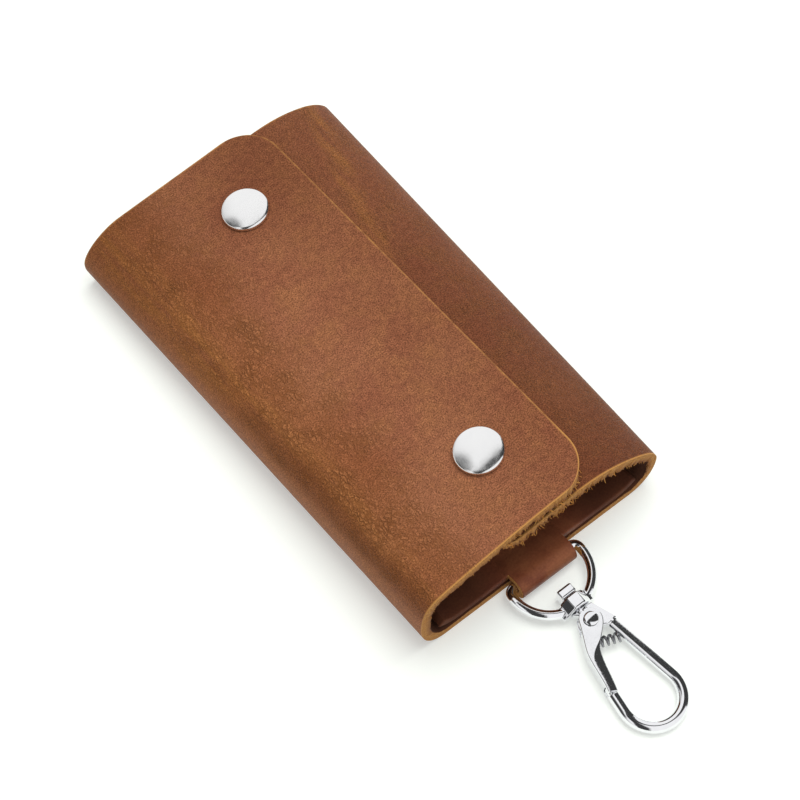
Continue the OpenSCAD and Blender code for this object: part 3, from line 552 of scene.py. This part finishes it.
across = sorted({round(panel_half * (k / 32 - 1), 3) for k in range(65)}
                | {round(tab_y + side * tab_width / 2 + d, 3) for side in (-1, 1) for d in (0, -0.35, 0.35)})
along = [(tab_start - panel_from) * k / 70 + panel_from for k in range(71)]
along += [tab_start + (panel_end - tab_start) * k / 8 for k in range(1, 9)]
rows = [[Vector((x, *on_panel(y))) * MM for y in across] for x in along]
panel = laid_grid("inner_panel_with_tab", rows, {"hide": [[(y * MM, x * MM) for y in across] for x in along]})
for v in panel.data.vertices:
    if on_tab(v.co, tab_start - 0.01):
        v.co.z = rise_at(v.co.x / MM) * MM
bpy.context.tool_settings.mesh_select_mode = (False, True, False)
pick_edges(panel, lambda edge: all(on_tab(v.co, panel_end - 0.01) for v in edge.verts))
here, travelled = Vector((panel_end, rise_at(panel_end))), 0.0
for point in [p for p in tab_line if p.x > panel_end + 0.1]:
    step = point - here
    here, travelled = point, travelled + step.length
    bpy.ops.mesh.extrude_region_move(TRANSFORM_OT_translate={"value": (step.x * MM, 0, step.y * MM)})
    work = bmesh.from_edit_mesh(panel.data)
    hide_map = work.loops.layers.uv["hide"]
    for loop in [loop for face in work.faces for loop in face.loops if loop.vert.select]:
        loop[hide_map].uv = (loop.vert.co.y, (panel_end + travelled) * MM)
    bmesh.update_edit_mesh(panel.data)
bpy.ops.object.mode_set(mode="OBJECT")
if min(panel.data.polygons, key=lambda f: abs(f.center.x) + abs(f.center.y)).normal.z < 0:
    panel.data.flip_normals()

# Smooth finished panel leather: dyed dark chestnut, waxed, duller towards its sides, where painted shade
# darkens it
waxed, shader = new_material("waxed_panel_leather")
lie = add(waxed, "UVMap", uv_map="hide")
drift = add(waxed, "TexNoise", {"Vector": lie, "Scale": 1 / (8 * MM), "Detail": 4, "Roughness": 0.6})
fine = add(waxed, "TexNoise", {"Vector": lie, "Scale": 1 / (0.5 * MM), "Detail": 3})
drifted = add(waxed, "MapRange", {"Value": drift, "From": (0.35, 0.65)})
dyed = add(waxed, "Mix", {"Factor": drifted, "A": "#7A422D", "B": "#965B3C"})
sides = add(waxed, "Math", {0: add(waxed, "SeparateXYZ", {"Vector": lie}).outputs["X"]}, operation="ABSOLUTE")
dull_sides_in_painted_shade = add(waxed, "MapRange", {"Value": sides, "From": (8 * MM, 16 * MM), "To Max": 0.75})
# painted shade on the panel's upturned sides
dyed = add(waxed, "Mix", {"Factor": dull_sides_in_painted_shade, "A": dyed, "B": "#4C2A1C"})
mottled = add(waxed, "MapRange", {"Value": fine, "From": (0.3, 0.7), "To": (0.88, 1.1)})
dyed = add(waxed, "Mix", {"Factor": 1.0, "A": dyed, "B": mottled}, blend_type="MULTIPLY")
bump = add(waxed, "Bump", {"Height": fine, "Strength": 0.15, "Distance": 0.08 * MM})
gloss = add(waxed, "MapRange", {"Value": drift, "To": (0.34, 0.5)})
gloss = add(waxed, "Math", {0: dull_sides_in_painted_shade, 1: 0.5, 2: gloss}, operation="MULTIPLY_ADD")
feed(shader, {"Base Color": dyed, "Roughness": gloss, "Specular IOR Level": 0.2, "Normal": bump})
panel.data.materials.append(waxed)
panel.data.materials.append(cut_edge)
thinned = panel.vertex_groups.new(name="leather_left")
for v in panel.data.vertices:
    thinned.add([v.index], 0.8 if on_tab(v.co, 57.3) else 1.0, "REPLACE")
modify(panel, "SOLIDIFY", thickness=panel_leather * MM, vertex_group="leather_left", material_offset_rim=1)
rub_round(panel, lambda edge: edge.calc_face_angle(0) > radians(60))
smoothed(panel, 50)
panel.vertex_groups.clear()
for face in panel.data.polygons:
    if face.center.x < 55 * MM or not (tab_from - 0.5) * MM < face.center.y < (tab_to + 0.5) * MM:
        face.material_index = 0
depth = panel.data.attributes.new("depth", "FLOAT", "POINT")
for v, value in zip(panel.data.vertices, depth.data):
    value.value = 0.3 if on_tab(v.co, 54) else 1.0

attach(panel, "case")
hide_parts("inner_panel")

# THE SNAPS. Each has a domed cap, stamped of nickel-plated brass with its rim rolled under, whose
# post is set through the front flap into the socket, and a stud set on an eyelet in the under flap.
snap_x, snap_y = near_x - 18.2, -2.2
cap_radius, cap_top = 5.3, 1.85
dome, roll = 21.5, 0.6  # radii of the dome and of the rim that is rolled under it


def snap_frame(x):
    """The place and turn of a snap on the front flap's outer face."""
    at, run = on_flap(x, snap_y)
    climb = on_flap(x + 0.5, snap_y)[0].y - on_flap(x - 0.5, snap_y)[0].y
    axis = Vector((-climb, -run.y / run.x, 1)).normalized()
    turn = Vector((0, 0, 1)).rotation_difference(axis).to_matrix().to_4x4()
    return Matrix.Translation(Vector((x, snap_y, at.y)) * MM) @ turn


def new_piece(name):
    """An empty piece, open in edit mode, and its mesh to work on."""
    obj = placed(bpy.ops.mesh.primitive_plane_add, size=1 * MM)
    obj.name = name
    bpy.ops.object.mode_set(mode="EDIT")
    bpy.ops.mesh.select_all(action="SELECT")
    bpy.ops.mesh.delete(type="VERT")
    return obj, bmesh.from_edit_mesh(obj.data)


def spun(name, outline, steps=96):
    """A piece turned from its outline of (radius, height) in mm, spun about the vertical."""
    obj, work = new_piece(name)
    verts = [work.verts.new((r * MM, 0, z * MM)) for r, z in outline]
    for a, b in zip(verts, verts[1:]):
        work.edges.new((a, b))
    bmesh.update_edit_mesh(obj.data)
    bpy.ops.mesh.select_all(action="SELECT")
    bpy.ops.mesh.spin(steps=steps, angle=2 * pi, center=(0, 0, 0), axis=(0, 0, 1))
    bpy.ops.mesh.select_all(action="SELECT")
    bpy.ops.mesh.remove_doubles(threshold=0.002 * MM)
    bpy.ops.mesh.normals_make_consistent(inside=False)
    bpy.ops.object.mode_set(mode="OBJECT")
    smoothed(obj, 40)
    return obj


def metal(name, tones, grains, gloss, gloss_grain=0, dents=(), stretch=(1, 1, 1)):
    """A metal's finish. grains are noises, (mm, detail, roughness): the first drifts the tone, one maps
    the gloss, (from, to, least, most), and dents are (grain, strength, depth in mm)."""
    finish, shader = new_material(name)
    lie = add(finish, "Mapping", {"Vector": add(finish, "TexCoord").outputs["Object"], "Scale": stretch})
    noises = [add(finish, "TexNoise", {"Vector": lie, "Scale": 1 / (size * MM), "Detail": detail,
                                       "Roughness": rough}) for size, detail, rough in grains]
    tone = add(finish, "Mix", {"Factor": noises[0], "A": tones[0], "B": tones[1]})
    haze = add(finish, "MapRange", {"Value": noises[gloss_grain], "From": gloss[:2], "To": gloss[2:]})
    feed(shader, {"Base Color": tone, "Roughness": haze, "Metallic": 1.0})
    bump = {}
    for which, strength, deep in dents:
        bump = {"Normal": add(finish, "Bump", {"Height": noises[which], "Strength": strength,
                                               "Distance": deep * MM, **bump})}
    feed(shader, bump)
    return finish


def dress(node, material):
    """Gives a CAD node that stays its own material."""
    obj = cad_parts[node]
    obj.data.materials.clear()
    obj.data.materials.append(material)


# Bright nickel plate on stamped brass: near-mirror with a soft haze of handling scratches
bright_nickel = metal("bright_nickel_plate", ("#E9E9EA", "#F6F6F5"), ((2.5, 5, 0.65), (0.6, 3, 0.5)),
                      (0.35, 0.7, 0.12, 0.26), dents=((1, 0.12, 0.02),))
# Duller nickel plate inside the case, on sockets and studs: a satin grey with soft smears
dull_nickel = metal("dull_nickel_plate", ("#B4B2AC", "#D4D2CC"), ((1.5, 4, 0.5),), (0, 1, 0.22, 0.42),
                    dents=((0, 0.15, 0.03),))
# Plain brass of the eyelets: yellow, a little tarnished in patches
plain_brass = metal("plain_brass", ("#B0924E", "#D6BC7C"), ((1.8, 4, 0.5),), (0, 1, 0.25, 0.5))

rim_at = asin((cap_radius - roll) / (dome - roll))
roll_z = cap_top - dome + (dome - roll) * cos(rim_at)
outline = [(dome * sin(a), cap_top - dome * (1 - cos(a))) for a in [rim_at * k / 16 for k in range(16)]]
outline += [(cap_radius - roll + roll * sin(a), roll_z + roll * cos(a))
            for a in [rim_at + (radians(90) - rim_at) * k / 10 for k in range(11)]]
outline += [(5.02 + 0.28 * cos(a), 0.34 + 0.28 * sin(a)) for a in [radians(-18 * k) for k in range(8)]]
outline += [(4.2, 0.12), (1.6, 0.12), (1.6, -2.95), (2.0, -3.0), (2.0, -3.32), (1.0, -3.36), (0, -3.1)]
for end, x in (("near", snap_x), ("far", -snap_x)):
    piece = spun("snap_cap_domed_" + end, outline)
    piece.data.materials.append(bright_nickel)
    piece.data.transform(snap_frame(x))
    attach(piece, "front_flap_body")
    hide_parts("snap_cap_" + end)
    dress("snap_socket_" + end, dull_nickel)
    dress("snap_stud_" + end, dull_nickel)
    dress("snap_eyelet_" + end, plain_brass)

# THE KEY ROW. A folded steel plate, nickel-plated, held by two rivets through the panel and the
# back. Six hooks turn in its upright lip, each a small block with a sprung wire loop.

# Nickel-plated rolled steel: bright grey, with a haze drawn out along the case by the rolling
row_steel = metal("nickel_plated_row_steel", ("#C0C0C2", "#DCDCDA"), ((3, 4, 0.5),), (0, 1, 0.14, 0.34),
                  dents=((0, 0.1, 0.02),), stretch=(6, 1, 6))
dress("key_rack", row_steel)
dress("rack_rivet_left", bright_nickel)
dress("rack_rivet_right", bright_nickel)
for i in range(1, 7):
    dress("hook_block_%d" % i, row_steel)
    dress("hook_wire_%d" % i, bright_nickel)

# THE SWIVEL RING. A D-shaped ring and its boss, cast in one piece of zinc, tumbled and plated. It
# hangs in the tab's loop, and the clip's shank turns in its boss.
clip_slope, flats_lean = 2.381, 2.2  # degrees
ring_radius, ring_corner, ring_leg, ring_wire = 9.1, 1.6, 1.8, 2.2
boss_from, boss_to, boss_radius = 8.8, 11.98, 2.72
to_bar = Matrix.Translation(Vector((bar_x, tab_y, bar_z)) * MM)
clip_frame = to_bar @ Matrix.Rotation(radians(clip_slope), 4, "Y")


def wire(name, points, diameter, closed=False, sides=6):
    """Round wire along a line of points in mm."""
    data = bpy.data.curves.new(name, "CURVE")
    data.dimensions = "3D"
    data.bevel_depth = diameter / 2 * MM
    data.bevel_resolution = sides
    data.use_fill_caps = True
    line = data.splines.new("POLY")
    line.points.add(len(points) - 1)
    for spot, p in zip(line.points, points):
        spot.co = (p[0] * MM, p[1] * MM, p[2] * MM if len(p) > 2 else 0, 1)
    line.use_cyclic_u = closed
    obj = bpy.data.objects.new(name, data)
    scene.collection.objects.link(obj)
    only(obj)
    bpy.ops.object.convert(target="MESH")
    return bpy.context.object


def rod(start, length, radius, sides=48, bevel=0, lean=0):
    """A round or flat-sided block lying along the clip, one flat upwards, with its rims broken."""
    middle = ((start + length / 2) * MM, 0, 0)
    obj = placed(bpy.ops.mesh.primitive_cylinder_add, vertices=sides, radius=radius * MM, depth=length * MM,
                 location=middle, rotation=(0, pi / 2, 0))
    bpy.ops.object.transform_apply()
    obj.data.transform(Matrix.Rotation(pi / sides, 4, "X"))
    if bevel:
        modify(obj, "BEVEL", width=bevel * MM, segments=2, limit_method="ANGLE", angle_limit=radians(30))
    if lean:
        centre = Matrix.Translation(middle)
        obj.data.transform(centre @ Matrix.Rotation(-radians(lean), 4, "Y") @ centre.inverted())
    return obj


def cast(name, parts, voxel, rounds):
    """Joins parts into one casting: remeshed together, then tumbled smooth."""
    only(parts[0])
    for part in parts:
        part.select_set(True)
    bpy.ops.object.join()
    obj = bpy.context.object
    obj.name = name
    modify(obj, "REMESH", voxel_size=voxel * MM, use_smooth_shade=True)
    modify(obj, "CORRECTIVE_SMOOTH", factor=0.5, iterations=rounds, use_only_smooth=True)
    return obj


# Polished nickel on die-cast zinc: a mirror with slight waves from tumbling and a few fine pits
cast_nickel = metal("polished_nickel_on_casting", ("#E8E9EC", "#F5F5F7"), ((2.0, 3, 0.5), (0.5, 4, 0.7)),
                    (0.4, 0.75, 0.04, 0.13), gloss_grain=1, dents=((0, 0.1, 0.06), (1, 0.05, 0.02)))


def set_in_clip(obj, body, node, material=cast_nickel):
    """Puts a piece made in the clip's own plane into its place."""
    obj.data.transform(clip_frame)
    obj.data.materials.clear()
    obj.data.materials.append(material)
    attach(obj, body)
    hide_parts(node)


flat_end = ring_radius - ring_corner
ring_line = arc((ring_corner, flat_end), ring_corner, 180, -90, 8)
ring_line += arc((ring_leg, 0), ring_radius, 90, -180, 48)
ring_line += arc((ring_corner, -flat_end), ring_corner, 270, -90, 8)
ring = wire("ring_wire", ring_line, ring_wire, closed=True)
boss = rod(boss_from, boss_to - boss_from, boss_radius, sides=8, bevel=0.3, lean=flats_lean)
boss.data.transform(Matrix.Scale(1.16, 4, (0, 1, 0)))
shoulder = rod(boss_from + 0.5, boss_to - boss_from - 0.6, 1.6, sides=16)
shoulder.data.transform(Matrix.Scale(2.6, 4, (0, 1, 0)))
swivel_ring = cast("swivel_ring_cast", [ring, boss, shoulder], 0.11, 2)
set_in_clip(swivel_ring, "ring", "swivel_ring")

# THE CLIP'S BODY. It is cast in one piece: a shank that is peened over in the boss, a flat head
# for the rivet, and a round bar bent to a bow that ends in the nose.
head_at, rivet_at, head_thick = 12.15, 15.07, 2.2
bar_thick, root_along = 2.5, 2.9
bar_root = Vector((rivet_at + root_along, 3.45))
bow, bow_radius = Vector((rivet_at + 19.4, -0.8)), 6.45
nose_side, gate_reach = 6.6, 15.8
flat_rise = 0.037  # the head's and the gate's tops climb this much for each mm towards the bow
nose = Vector((rivet_at + sqrt(gate_reach ** 2 - nose_side ** 2), -nose_side))


def touching(p, turn):
    """The angle about the bow's centre at which a line from p touches the bow."""
    d = p - bow
    return degrees(atan2(d.y, d.x)) + turn * degrees(acos(bow_radius / d.length))


bow_from, bow_to = touching(bar_root, -1), touching(nose, 1)
bar_touch, nose_touch = bow + bow_radius * way(bow_from), bow + bow_radius * way(bow_to)
bow_from, bow_to = (degrees(atan2(p.y - bow.y, p.x - bow.x)) for p in (bar_touch, nose_touch))
run = (bar_touch - bar_root).normalized()
nose_way = (nose_touch - nose).normalized()
bar_line = [bar_root - run * 0.15] + [bar_root.lerp(bar_touch, k / 10) for k in range(1, 10)]
bar_line += arc(bow, bow_radius, bow_from, bow_to - bow_from, 60)
bar_line += [nose_touch.lerp(nose + nose_way * 0.12, k / 5) for k in range(1, 6)]
arm = wire("clip_arm", bar_line, bar_thick)
tongue = wire("clip_tongue", [nose + nose_way * 1.5, nose - nose_way * 1.5], 1.8)
shank = rod(boss_from - 1.5, head_at - boss_from + 2.5, 1.05, sides=24)
peen_length = 2.25
peen = rod(boss_from - 0.12 - peen_length, peen_length, 2.62, sides=4, bevel=0.42, lean=flats_lean)
neck = rod(boss_to + 0.1, 1.0, 1.5, sides=24)


def plate(name, outline, thickness, bevel):
    """A flat plate in the clip's plane, extruded from its outline, its edges broken."""
    obj, work = new_piece(name)
    work.faces.new([work.verts.new((p[0] * MM, p[1] * MM, -thickness / 2 * MM)) for p in outline])
    bmesh.update_edit_mesh(obj.data)
    bpy.ops.mesh.select_all(action="SELECT")
    bpy.ops.mesh.extrude_region_move(TRANSFORM_OT_translate={"value": (0, 0, thickness * MM)})
    bpy.ops.mesh.select_all(action="SELECT")
    bpy.ops.mesh.normals_make_consistent(inside=False)
    bpy.ops.object.mode_set(mode="OBJECT")
    if bevel:
        modify(obj, "BEVEL", width=bevel * MM, segments=2, limit_method="ANGLE", angle_limit=radians(50))
    return obj


side = bar_thick / 2 * Vector((-run.y, run.x))
outline = [Vector((head_at, 2.7)), bar_root + side, bar_root - side]
outline += [Vector((rivet_at, 0)) + 2.3 * way(a) for a in range(20, -160, -12)] + [Vector((head_at, -2.2))]
head = plate("clip_head", outline[::-1], head_thick, 0.18)
for v in head.data.vertices:
    if v.co.z > 0:
        v.co.z += flat_rise * (v.co.x - rivet_at * MM)
hook = cast("clip_hook_cast", [arm, tongue, shank, peen, neck, head], 0.1, 3)
set_in_clip(hook, "clip", "clip_hook")

# THE GATE. It is cast hollow: two cheeks round the head, joined by a spine along its outside. Its
# top is flat, and its inner edge is rolled round more and more towards the nose.
gate_bend, head_half, bend_half, tip_half = Vector((5.7, -4.1)), 2.5, 1.5, 1.05
gate_low, slot_high, spine = 1.56, 2.44, 0.5
spine_from, spine_to = 2.6, 14.2
hole_radius = 0.92
chord = (nose - Vector((rivet_at, 0))).normalized()
inwards = Vector((-chord.y, chord.x))
bend_at, bend_side = gate_bend.dot(chord), gate_bend.dot(inwards)


def eased(share):
    """A share from 0 to 1 that starts and ends gently."""
    share = min(1, max(0, share))
    return share * share * (3 - 2 * share)


def gate_sides(d):
    """How far the gate reaches out and in from the line between the rivet and the nose, at d along it."""
    to_bend, past = eased(d / bend_at), (d - bend_at) / (gate_reach - bend_at)
    to_tip = eased(past) * 0.5 + min(1, max(0, past)) * 0.5
    middle = bend_side * (to_bend - to_tip)
    half = head_half + (bend_half - head_half) * to_bend + (tip_half - bend_half) * to_tip
    if d < 0:
        half = sqrt(max(0, head_half ** 2 - d * d))
    return middle - half, middle + half


def gate_section(d):
    """The gate's cross-section at d: its corners rounded, the inner ones most."""
    low, high = gate_sides(d)
    inner = min(0.16 + 2.0 * eased((d - 4.0) / 5.0), (high - low) * 0.8)
    fall = 0.16 + (inner - 0.16) * 0.42
    outer = min(0.22, (high - low) * 0.15)
    top = gate_low + flat_rise * d
    loop = []
    corners = ((high - inner, top - fall, inner, fall), (low + outer, top - outer, outer, outer),
               (low + outer, outer - gate_low, outer, outer), (high - inner, fall - gate_low, inner, fall))
    for start, (t, z, wide, tall) in zip((0, 90, 180, 270), corners):
        corner = [Vector((t + v.x * wide, z + v.y * tall)) for v in [way(start + 9 * k) for k in range(11)]]
        loop += [corner[0] + way(start - 90) * 0.04] + corner + [corner[-1] + way(start + 180) * 0.04]
    return loop


def in_plan(d, t):
    return Vector((rivet_at, 0)) + chord * d + inwards * t


cuts = [-head_half * cos(radians(90 * k / 16)) for k in range(1, 17)] + [0.25 * k for k in range(1, 62)]
cuts += [gate_reach - 0.12, gate_reach]
gate = placed(bpy.ops.mesh.primitive_plane_add, size=1 * MM)
gate.name = "clip_gate_cast"
work = bmesh.new()
loops = []
for d in cuts:
    left = 0.88 if d == cuts[-1] else 1.0
    loops.append([work.verts.new(Vector((*in_plan(d, t * left), z * left)) * MM) for t, z in gate_section(d)])
for low, high in zip(loops, loops[1:]):
    for k in range(len(low)):
        after = (k + 1) % len(low)
        work.faces.new((low[k], low[after], high[after], high[k]))
work.faces.new(loops[0])
work.faces.new(loops[-1])
bmesh.ops.recalc_face_normals(work, faces=work.faces[:])
work.to_mesh(gate.data)
work.free()
beside_spine = [spine_from + (spine_to - spine_from) * k / 20 for k in range(21)]
hollow = [(-3.2, 4.5), (-3.2, -3.4), (spine_from - 0.3, -3.4)]
hollow += [(d, gate_sides(d)[0] + spine) for d in beside_spine]
hollow += [(spine_to + 0.3, -1.7), (17.5, -1.7), (17.5, 4.5)]
slot = plate("gate_hollow", [in_plan(d, t) for d, t in reversed(hollow)], slot_high, 0)
hole = placed(bpy.ops.mesh.primitive_cylinder_add, vertices=48, radius=hole_radius * MM, depth=8 * MM,
              location=(rivet_at * MM, 0, 0))
bpy.ops.object.transform_apply()
for tool in (slot, hole):
    modify(gate, "BOOLEAN", operation="DIFFERENCE", object=tool, solver="EXACT")
    bpy.data.objects.remove(tool)
smoothed(gate, 32)
set_in_clip(gate, "gate", "clip_gate")

# THE GATE'S RIVET. Nickel-plated steel, with a solid domed head set on each side of the gate.
rivet_radius = 0.85
rivet_top = (head_thick + 0.24) / 2 + 0.5 + 0.12
button = [(1.5 * sin(a), rivet_top + 0.16 + 0.29 * cos(a)) for a in [radians(9 * k) for k in range(10)]]
button += [(1.55, rivet_top + 0.1), (1.5, rivet_top), (rivet_radius, rivet_top)]
rivet = spun("gate_rivet_domed", button + [(r, -z) for r, z in button[::-1]], steps=48)
rivet.data.transform(Matrix.Translation((rivet_at * MM, 0, 0)))
set_in_clip(rivet, "clip", "gate_rivet")

# THE GATE'S SPRING. Hard steel wire wound in five coils between the gate's spine and the bar, drawn
# bolder than the solid's because the photo's coils are.
turns, spring_length, spring_wire, solid_wire = 5, 6.6, 0.62, 0.42
coil = (head_thick - solid_wire) / 2
seat_along, spring_turn = 6.2, -22
# Bright spring steel: grey, with fine streaks from the die it was drawn through
spring_steel = metal("bright_spring_steel", ("#5E5F64", "#B9B9BC"), ((0.6, 3, 0.5),), (0, 1, 0.08, 0.2))

bar_lean = atan2(run.y, run.x)
seat_side = bar_root.y + (seat_along - root_along) * tan(bar_lean) - bar_thick / 2 / cos(bar_lean) - 0.05
seat = Vector((rivet_at + seat_along, seat_side, 0)) * MM
coil_points = [(coil * cos(a), coil * sin(a), solid_wire / 2 + (spring_length - solid_wire) * s)
               for a, s in [(2 * pi * turns * k / 240, k / 240) for k in range(241)]]
spring = wire("gate_spring_wound", coil_points, spring_wire, sides=3)
lean = Matrix.Rotation(radians(spring_turn), 4, "Z") @ Matrix.Rotation(radians(90), 4, "X")
spring.data.transform(Matrix.Translation(seat) @ lean)
only(spring)
bpy.ops.object.shade_smooth()
set_in_clip(spring, "clip", "gate_spring", spring_steel)
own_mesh(spring)

# THE STUDIO. A white table, a large soft light over it, and a surround of white and dark parts for
# the metal to show.
photo_size, sensor, focal = 800, 36, 1951.6  # pixels, mm, pixels
camera_far, camera_right, camera_up = 425.7, 7.10, -5.69
azimuth, elevation = radians(51.33), radians(61.13)
right = Vector((cos(azimuth), sin(azimuth), 0))
floor_up = Vector((-sin(azimuth), cos(azimuth), 0))
back = Vector((sin(azimuth) * cos(elevation), -cos(azimuth) * cos(elevation), sin(elevation)))
up = back.cross(right)
camera = placed(bpy.ops.object.camera_add)
camera.data.sensor_width = sensor
camera.data.lens = focal / photo_size * sensor
camera.data.clip_start = 0.01
camera_at = (back * camera_far + right * camera_right + up * camera_up) * MM
camera.matrix_world = Matrix.Translation(camera_at) @ Matrix((right, up, back)).transposed().to_4x4()
scene.camera = camera

table = placed(bpy.ops.mesh.primitive_plane_add, size=4, location=(0, 0, -0.05 * MM))
table.name = "table_top"
# White laminate: even and matt. It is lifted a little for the camera and in reflections, so that it
# comes out white, and keeps the shadow
laminate, shader = new_material("white_table")
feed(shader, {"Base Color": "#DFE4DD", "Roughness": 0.9, "Specular IOR Level": 0.1})
rays = add(laminate, "LightPath").outputs
seen = add(laminate, "Math", {0: rays["Is Camera Ray"], 1: rays["Is Glossy Ray"]}, operation="MAXIMUM")
lift = add(laminate, "Math", {0: seen, 1: 0.34}, operation="MULTIPLY")
glow = add(laminate, "Emission", {"Color": (1, 1, 1, 1), "Strength": lift})
lifted = add(laminate, "AddShader", {0: shader, 1: glow})
feed(laminate.node_tree.nodes["Material Output"], {"Surface": lifted})
table.data.materials.append(laminate)

# one square soft light, over the case and a little beyond it
lamp = placed(bpy.ops.object.light_add, type="AREA")
lamp.name = "key_softbox"
lamp.data.shape = "SQUARE"
lamp.data.size, lamp.data.energy = 0.8, 8.8
lamp.location = right * 0.13 + floor_up * 0.22 + Vector((0, 0, 1.1))
lamp.rotation_euler = lamp.location.to_track_quat("Z", "Y").to_euler()
lamp.visible_glossy = False

# the surround, as the metal shows it: white to the upper left and the lower right, dark between,
# with two dark spots that darken the near sides of the caps
world = bpy.data.worlds.new("surround")
scene.world = world
world.use_nodes = True
rays = add(world, "LightPath").outputs
direction = add(world, "TexCoord").outputs["Generated"]
across, away, spot, smudge = [
    add(world, "VectorMath", {0: direction, 1: tuple(aim.normalized())}, operation="DOT_PRODUCT")
    for aim in (right, floor_up, right * -0.84 + floor_up * -0.2 + Vector((0, 0, 0.5)),
                right * -0.6 + floor_up * 0.06 + Vector((0, 0, 0.8)))]
slanted = add(world, "Math", {0: away, 1: across}, operation="SUBTRACT")
upper_left, far_left, spotted, smudged, faded, right_part, low_part = [
    add(world, "MapRange", {"Value": value, "From": (start, end), "To": (low, high)}, **soft)
    for value, start, end, low, high in (
        (slanted, 0.19, 0.225, 0.0, 1.0), (across, -0.36, -0.48, 0.0, 1.0), (spot, 0.925, 0.98, 1.0, 0.05),
        (smudge, 0.945, 0.985, 1.0, 0.2), (across, -0.38, -0.8, 1.0, 0.55), (across, -0.04, 0.14, 0.0, 1.0),
        (away, 0.1, -0.04, 0.0, 1.0))]
lower_right = add(world, "Math", {0: right_part, 1: low_part}, operation="MULTIPLY")
white = upper_left
for other, operation in ((far_left, "MAXIMUM"), (spotted, "MULTIPLY"), (smudged, "MULTIPLY"),
                         (faded, "MULTIPLY"), (lower_right, "MAXIMUM")):
    white = add(world, "Math", {0: white, 1: other}, operation=operation)
room = add(world, "MapRange", {"Value": white, "To Min": 0.05}, **soft)
strength = add(world, "Math", {0: rays["Is Glossy Ray"], 1: room}, operation="MULTIPLY")
for kind, share in (("Is Diffuse Ray", 0.5), ("Is Camera Ray", 1.0), ("Is Transmission Ray", 1.0)):
    strength = add(world, "Math", {0: rays[kind], 1: share, 2: strength}, operation="MULTIPLY_ADD")
feed(world.node_tree.nodes["Background"], {"Color": (1, 1, 1, 1), "Strength": strength})
scene.view_settings.view_transform = "Standard"
